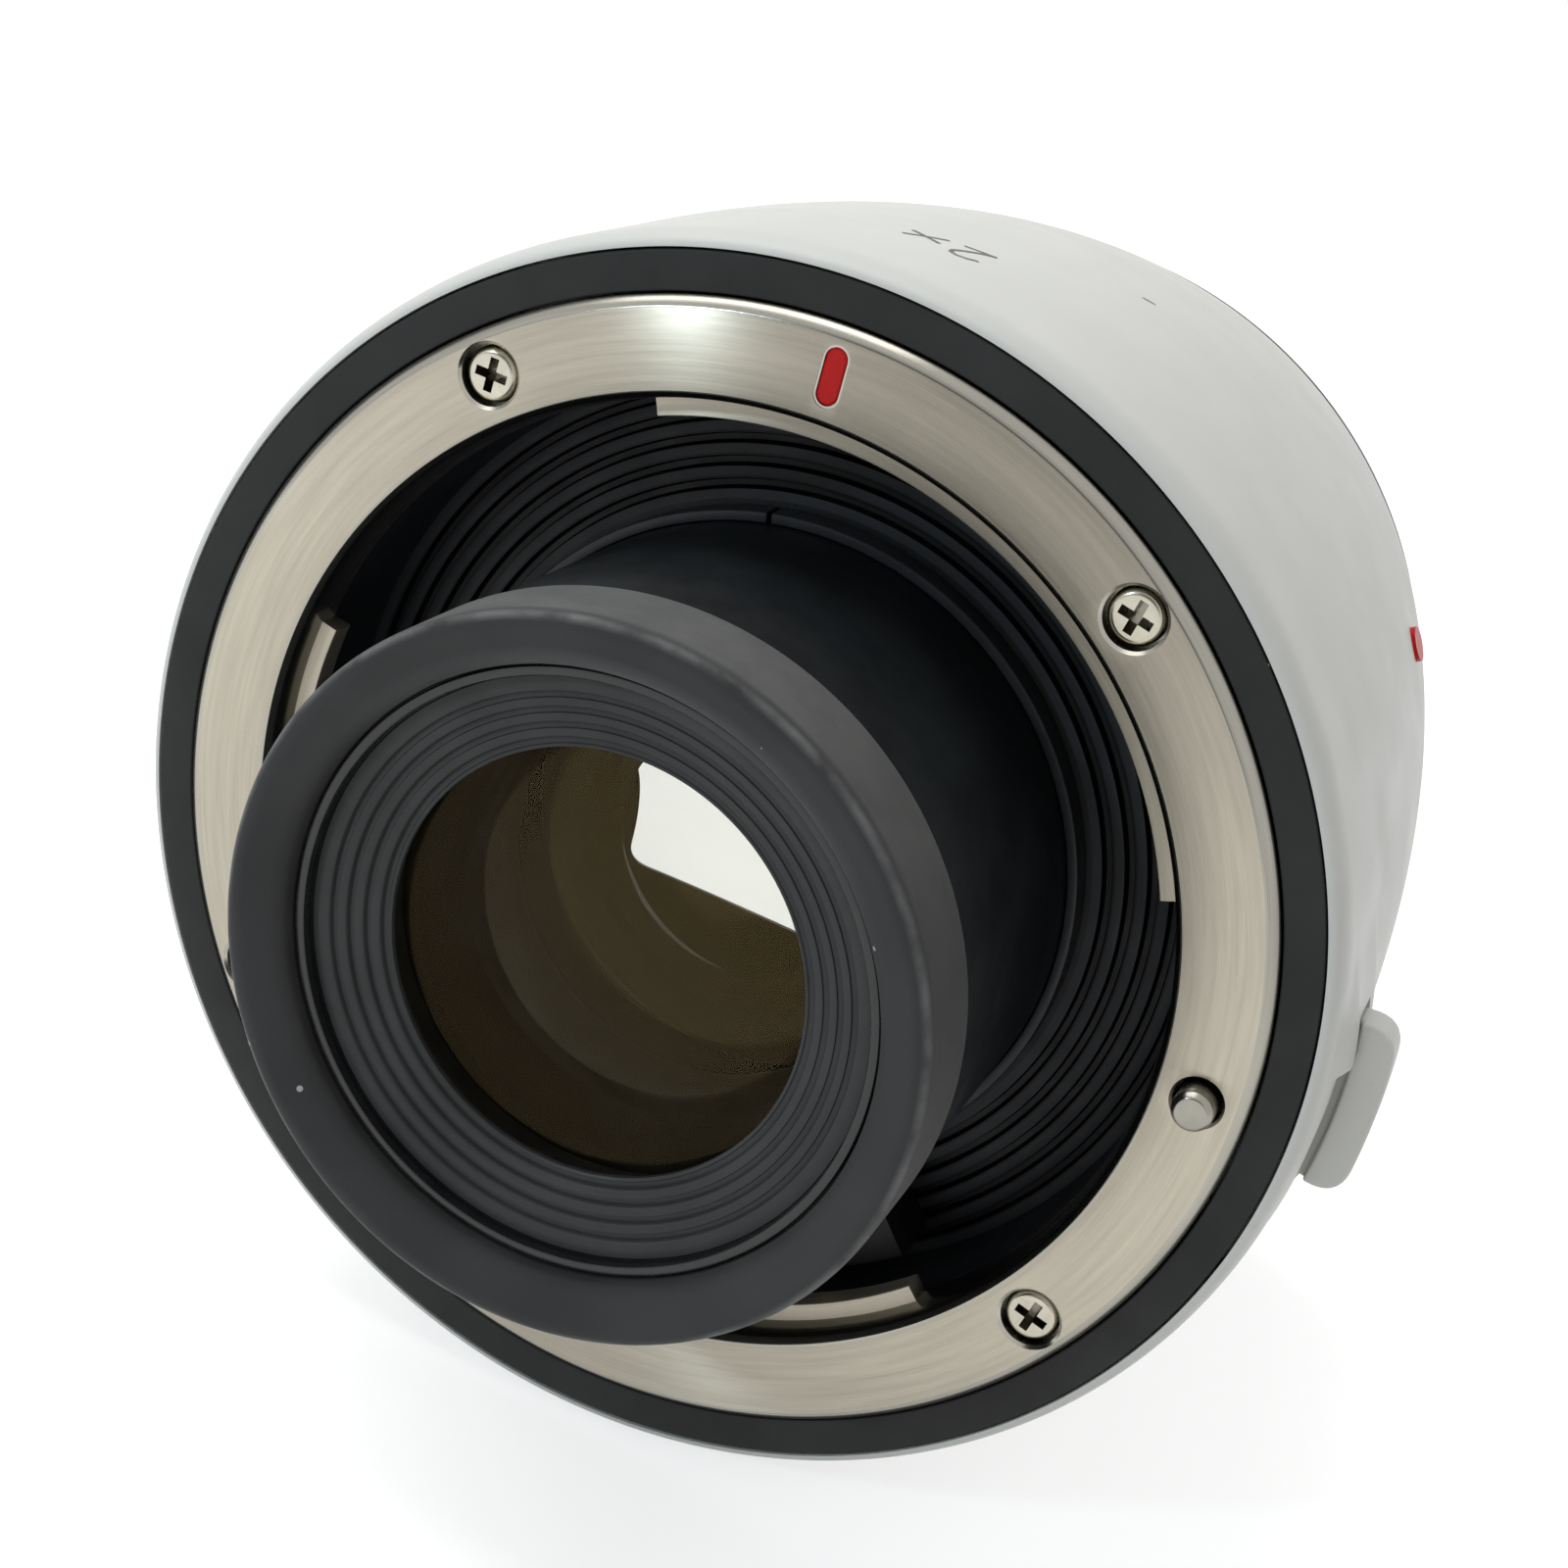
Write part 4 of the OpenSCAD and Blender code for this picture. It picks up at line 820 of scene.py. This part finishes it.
lensTube = spin("lensTube", tube["outline"], [barrelBlack, boreBrownReflection], 288, pick=tubePick)
stand(lensTube, "housing", "black_anodised", "front_lens_barrel")
bumper = spin("rubberBumper", roundCorners(tube["bumper"], 4), [makeRubber()], 288, sharp=40)
stand(bumper, "housing", "black_rubber", "rubber_bumper")
rimRing = spin("rimRing", box(*tube["rim"]), [rimGloss], 288)
stand(rimRing, "housing", "black_anodised", "front_rim_ring")
funnel = {"outer": 15.65, "opening": 11.65, "border": 0.4, "land": 0.2, "lip": 69.45, "top": 70.55,
          "ridges": 4,
          "foot": [(12.6, 68.45), (13.55, 68.45), (13.55, 67.98), (15.65, 67.98), (15.65, 70.55)],
          "mouth": [(11.8, 69.45, 0.08), (11.65, 69.35), (11.65, 69.05)], "soft": 0.12, "cut": 0.3}
pitch = (funnel["outer"] - funnel["border"] - funnel["opening"] - funnel["land"]) / funnel["ridges"]
fall = (funnel["top"] - funnel["lip"]) / funnel["ridges"]
steps = list(funnel["foot"])
for i in range(funnel["ridges"]):
    r = funnel["outer"] - funnel["border"] - pitch * i
    z = funnel["top"] - fall * i
    low = z - fall * 0.35
    steps += [(r, z, funnel["soft"]), (r - pitch * 0.55, low, funnel["soft"]),
              (r - pitch * 0.65, low - funnel["cut"]), (r - pitch * 0.95, z - fall - 0.1)]
steps += funnel["mouth"]
ridgedFunnel = spin("ridgedFunnel", roundCorners(steps, 3), [funnelBlack], 288, sharp=26)
stand(ridgedFunnel, "housing", "black_anodised", "front_retainer")
print("lens barrel done")

# glass: five groups, cemented elements as one body
groups = [
    {"name": "glassFront", "nodes": ["lens_1"], "front": 67.75, "back": 63.55, "radii": (-136, 170),
     "half": 13.5, "ior": 1.60},
    {"name": "glassTriplet", "nodes": ["lens_2", "lens_3", "lens_4"], "front": 58.35, "back": 47.19,
     "radii": (-316, 35), "half": 13.5, "ior": 1.72},
    {"name": "glassMiddle", "nodes": ["lens_5"], "front": 42.45, "back": 38.25, "radii": (-98.5, 131),
     "half": 13.5, "ior": 1.60},
    {"name": "glassDoublet", "nodes": ["lens_6", "lens_7"], "front": 35.45, "back": 24.42,
     "radii": (109, -23.8), "half": 15.5, "ior": 1.72},
    {"name": "glassRear", "nodes": ["lens_8", "lens_9"], "front": 24.15, "back": 17.82, "radii": (91.3, 279),
     "half": 15.5, "ior": 1.75}]
glassEdge = {"gap": 0.03, "bevel": 0.25, "rings": 48}


def dip(r, curve):
    return curve - math.copysign(math.sqrt(curve * curve - r * r), curve)


def glassPick(k, points):  # blackened rim, ground bevel at its front
    return {glassEdge["rings"]: 1, glassEdge["rings"] + 1: 2}.get(k, 0)


for group in groups:
    half = group["half"] - glassEdge["gap"]
    reach = [half * i / glassEdge["rings"] for i in range(glassEdge["rings"] + 1)]
    frontCurve, backCurve = group["radii"]
    face = [(r, group["back"] - dip(r, backCurve)) for r in reach]
    face.append((half, group["front"] - dip(half, frontCurve) - glassEdge["bevel"]))
    face += [(r, group["front"] - dip(r, frontCurve)) for r in reversed(reach[:-1])]
    glass = makeGlass(group["name"], group["ior"], glassTint, glassCoat)
    piece = spin(group["name"], face, [glass, edgeDark, edgePale], 192, pick=glassPick, sharp=30)
    stand(piece, "housing", "coated_glass", *group["nodes"])
spacers = {"spacer_front": (12.6, 13.5, 58.7, 62.95), "spacer_middle": (12.6, 13.5, 43.45, 44.4),
           "spacer_rear": (14.6, 15.5, 22.9, 29.35)}
for node, (r1, r2, z1, z2) in spacers.items():
    piece = spin(node.replace("_", "") + "Ring", box(r1, r2, z1, z2), [boreBrownReflection], 192)
    stand(piece, "housing", "black_anodised", node)
rearCell = {"outline": [(15.55, 14.2), (18.5, 14.2), (18.5, 33.5), (17.0, 33.5), (17.0, 34.72),
                        (15.55, 34.72)],
            "holder": [(14.6, 17.3), (15.5, 17.3), (15.5, 14.4), (15.0, 14.4)]}
# the rear cell and its ring carry the painted red-brown reflection
cell = spin("rearCell", rearCell["outline"], [boreRedReflection], 192)
stand(cell, "housing", "black_anodised", "rear_lens_cell")
holdRing = spin("rearHoldRing", rearCell["holder"], [boreRedReflection], 192)
stand(holdRing, "housing", "black_anodised", "rear_retainer")
print("glass done")

# rear mount
rear = {"outline": [(23.9, -5.2, 0.15), (25.7, -5.2, 0.35), (25.7, 0.02), (31.3, 0.02, 0.2), (31.3, 2.0),
                    (23.9, 2.0)],
        "tabs": ((-15, 36), (132, 192), (243, 295)), "tab": (25.4, 26.8, -3.7, -2.3, 0.15),
        "screws": {20: 14, 110: 63, 200: 31, 290: 50}, "screwRing": 28.5, "screwSeat": 1.4, "shankLong": 5,
        "bore": [(0, -1), (2.0, -1), (1.8, 0.15), (1.8, 1.4), (1.15, 1.4), (1.15, 3), (0, 3)],
        "pinBore": [(0, -1), (1.2, -1), (1.2, 3), (0, 3)],
        "seal": [(31.33, 0), (31.37, -0.15, 0.03), (31.43, -0.15, 0.03), (31.68, 2.0), (31.33, 2.0)],
        "baffle": [(0, -1.2), (22.67, -1.2), (22.67, -4.2), (23.87, -4.2), (23.87, 2.02), (25.4, 2.02),
                   (25.4, 3), (22.67, 3), (22.67, 0), (0, 0)],
        "window": (23.3, 19.5, 1.5), "windowFrom": -3, "windowTo": 2,
        "block": (18.6, 22.6, -4.0, -1.22, 0.3), "blockFrom": 146, "blockSweep": 68, "padRing": 20.58,
        "padHeight": -4.0,
        "well": [(0, -5), (0.93, -5), (0.93, -3.6), (0, -3.6)],
        "pad": [(0, -0.1, 0), (0.9, -0.1, 0.12), (0.9, 0.38), (0, 0.38)]}


def rearPick(k, points):
    p = points[k]
    q = points[(k + 1) % len(points)]
    return 0 if abs(p[1] - q[1]) < 1e-6 and p[1] < 1 else 1


rearFinishes = [steelFace, steelEdgeShaded]
rearRing = spin("rearRing", roundCorners(rear["outline"], 3), rearFinishes, 360, pick=rearPick, sharp=25)
holes = holesAt(rear["bore"], rear["screws"], rear["screwRing"], 48, 1)
holes += holesAt(rear["pinBore"], [pin["clock"]], pin["ring"], 48, 1)
carve(rearRing, spinMany("rearHoles", holes, rearFinishes), 25)
lugs = arcs(box(*rear["tab"]), rear["tabs"], 60, 1)
unite(rearRing, spinMany("lugs", lugs, rearFinishes, sharp=25), 25)
stand(rearRing, "housing", "mount_steel", "rear_mount_ring")
rearPlaces = [(clock, rear["screwRing"], rear["screwSeat"], own) for clock, own in rear["screws"].items()]
rearScrew = screwForm("oneRearScrew", screw["head"], screw["headHigh"], screw["shank"], rear["shankLong"])
rearScrews = setOnPoints("rearScrews", rearScrew, rearPlaces, True, screwSteel, recessShadedSteel)
stand(rearScrews, "housing", "bright_steel", "rear_mount_screws")
seal = spin("rearSeal", roundCorners(rear["seal"], 3), [sealBlack], 288)
stand(seal, "housing", "black_rubber", "rear_seal")
rearBaffle = spin("rearBaffle", rear["baffle"], [rearBlack], 288)


def windowCut(wide, high, corner):
    x = wide / 2
    y = high / 2
    points = roundCorners([(-x, -y, corner), (x, -y, corner), (x, y, corner), (-x, y, corner)], 6)
    form = bmesh.new()
    ends = (rear["windowFrom"], rear["windowTo"])
    loops = [[form.verts.new(Vector((p.x, -z, p.y)) * mm) for p in points] for z in ends]
    skin(form, loops)
    return addObject("windowCut", closeForm("windowCut", form, 30), [rearBlack])


carve(rearBaffle, windowCut(*rear["window"]))
stand(rearBaffle, "housing", "black_plastic", "rear_light_baffle")
rearBlock = spin("rearBlock", box(*rear["block"]), [blockBlack], 60, rear["blockFrom"], rear["blockSweep"])
wells = holesAt(rear["well"], contactClocks, rear["padRing"], 32)
carve(rearBlock, spinMany("wells", wells, [blockBlack]))
stand(rearBlock, "housing", "black_plastic", "rear_contact_block")
onePad = spin("onePad", roundCorners(rear["pad"], 3), [gold], 32)
padPlaces = [(clock, rear["padRing"], rear["padHeight"], 0) for clock in contactClocks]
rearPads = setOnPoints("rearPads", onePad, padPlaces, False, gold)
stand(rearPads, "housing", "contact_gold", "rear_contacts")
print("rear mount done")

# springs, one coil at the lock pin and one at each contact pin
lockSpring = {"ring": 29.9, "low": 42.23, "high": 45.77, "mean": 1.2, "wire": 0.14, "turns": 4.5,
              "travel": 2.01}
contactSpring = {"ring": 23.5, "low": 46.63, "high": 49.57, "mean": 0.56, "wire": 0.09, "turns": 4,
                 "travel": 1.0}


def coil(name, spring, clock, node):
    form = bmesh.new()
    centre = at(clock, spring["ring"])
    total = round(spring["turns"] * 24)
    rise = spring["high"] - spring["low"] - 2 * spring["wire"]
    loops = []
    for i in range(total + 1):
        angle = 2 * math.pi * i / 24
        loop = []
        for j in range(8):
            tilt = 2 * math.pi * j / 8
            r = spring["mean"] + spring["wire"] * math.cos(tilt)
            z = spring["low"] + spring["wire"] * (1 + math.sin(tilt)) + rise * i / total
            place = Vector((r * math.sin(angle), -z, r * math.cos(angle))) * mm
            loop.append(form.verts.new(centre @ place))
        loops.append(loop)
    skin(form, loops)
    piece = addObject(name, closeForm(name, form, 40), [springSteel])
    stand(piece, "housing", "spring_steel", node)
    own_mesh(piece)


coil("lockSpring", lockSpring, pin["clock"], "lock_pin_spring")
for i, clock in enumerate(contactClocks, 1):
    coil("contactSpring%d" % i, contactSpring, clock, "contact_springs")

# hidden pieces keep their solids and take a finish
hidden = {"lock_pin_guide": brass, "guide_screws": screwSteel, "lever_carrier": springSteel,
          "lever_screws": screwSteel, "carrier_screws": screwSteel, "front_flex": filmAmber,
          "rear_flex": filmAmber, "main_board": boardGreen, "board_screws": screwSteel,
          "core_screws": screwSteel}
for node, finish in hidden.items():
    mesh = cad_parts[node].data
    mesh.materials.clear()
    mesh.materials.append(finish)

# printed marks on the white body: a magnification figure and a short line
marks = {"wide": 0.27, "proud": 0.02,
         "cross": (((-3.3, 45.1), (0.1, 43.1)), ((-3.3, 43.3), (0.1, 44.9))),
         "two": ((1.5, 43.05), (4.5, 42.8), (3.6, 43.2), (2.85, 43.85), (2.1, 44.6), (1.6, 45.3), (1.7, 45.9),
                 (2.4, 46.25), (3.3, 46.15), (4.25, 45.65)),
         "nick": ((14.7, 31.9), (15.3, 31.65), (15.95, 31.4))}


def ribbon(name, paths, wide, proud, finish):  # paths of (clock, height) laid on the body
    form = bmesh.new()
    for path in paths:
        ends = [Vector((math.radians(clock) * body["radius"], height)) for clock, height in path]
        flat = [first.lerp(last, k / 8) for first, last in zip(ends, ends[1:]) for k in range(8)] + [ends[-1]]
        left = []
        right = []
        for i, point in enumerate(flat):
            ahead = flat[min(i + 1, len(flat) - 1)] - flat[max(i - 1, 0)]
            side = Vector((-ahead.y, ahead.x)).normalized() * wide / 2
            for store, place in ((left, point + side), (right, point - side)):
                clock = math.degrees(place.x / body["radius"])
                radius = (taperRadius(place.y) if place.y < body["taperFrom"] else body["radius"]) + proud
                store.append(form.verts.new(spot(radius, clock, place.y)))
        for i in range(len(flat) - 1):
            form.faces.new((left[i], left[i + 1], right[i + 1], right[i]))
    return addObject(name, closeForm(name, form, 60), [finish])


figure = ribbon("magnification", [marks["two"], *marks["cross"]], marks["wide"], marks["proud"], greyInk)
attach(figure, "housing")
nick = ribbon("paintNick", [marks["nick"]], marks["wide"] * 0.8, marks["proud"], greyInk)
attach(nick, "housing")
print("marks and hidden pieces done")

# floor, light and world
level = {"floor": 0.6, "room": 0.46}


def seenRays(tree):  # 1 for what the camera sees directly, in a mirror or through glass
    path = addNode(tree, "ShaderNodeLightPath").outputs
    glossy = path["Is Glossy Ray"]
    direct = math2(tree, "MAXIMUM", path["Is Camera Ray"], path["Is Transmission Ray"])
    return math2(tree, "MAXIMUM", direct, glossy), glossy


floorForm = bmesh.new()
bmesh.ops.create_grid(floorForm, x_segments=1, y_segments=1, size=3)
floorMesh = bpy.data.meshes.new("floor")
floorForm.to_mesh(floorMesh)
floorForm.free()
floorMesh.transform(Matrix.Translation((0, 0, cadBox[0][2] - 0.0002)))
floorFinish, floorTree, floorShader = startFinish("floorWhite")
plug(floorShader, "Base Color", (0.82, 0.82, 0.82))
plug(floorShader, "Roughness", 0.9)
shown, glossy = seenRays(floorTree)
glow = addNode(floorTree, "ShaderNodeEmission", None, Color=(1, 1, 1),
               Strength=math2(floorTree, "MULTIPLY", shown, level["floor"]))
both = addNode(floorTree, "ShaderNodeAddShader", None, i0=floorShader.outputs[0], i1=glow.outputs[0])
plug(floorTree.nodes["Material Output"], "Surface", both.outputs[0])
floor = addObject("floor", floorMesh, [floorFinish])

lamps = [{"name": "streakLamp", "place": (-0.364, -0.609, 0.270), "size": 0.05, "power": 0.9,
          "tint": (0.70, 0.87, 1.0)},
         {"name": "topLamp", "place": (-0.30, 0.02, 0.62), "size": 0.5, "power": 2.6,
          "tint": (1.0, 1.0, 0.98)}]
for lamp in lamps:
    data = bpy.data.lights.new(lamp["name"], "AREA")
    data.size = lamp["size"]
    data.energy = lamp["power"]
    data.color = lamp["tint"]
    light = bpy.data.objects.new(lamp["name"], data)
    light.location = lamp["place"]
    light.rotation_euler = (Vector((0, -0.03, 0)) - Vector(lamp["place"])).to_track_quat("-Z", "Y").to_euler()
    bpy.context.scene.collection.objects.link(light)
# the room is darker where the camera stands
darkSide = {"way": (-0.06, -0.96, 0.22), "from": 0.70, "deep": 0.85}
world = bpy.data.worlds.new("softRoom")
world.use_nodes = True
bpy.context.scene.world = world
worldTree = world.node_tree
back = worldTree.nodes["Background"]
plug(back, "Color", (1, 1, 1))
seen, glossy = seenRays(worldTree)
plain = math2(worldTree, "MULTIPLY", math2(worldTree, "SUBTRACT", 1.0, seen), level["room"])
toward = addNode(worldTree, "ShaderNodeTexCoord").outputs["Generated"]
ahead = addNode(worldTree, "ShaderNodeVectorMath", {"operation": "DOT_PRODUCT"}, i0=toward,
                i1=darkSide["way"])
dim = span(worldTree, ahead.outputs["Value"], darkSide["from"], 1.0, 0.0, darkSide["deep"])
dim = math2(worldTree, "MULTIPLY", dim, glossy)
plug(back, "Strength", math2(worldTree, "SUBTRACT", math2(worldTree, "ADD", seen, plain), dim))
print("stage lit")
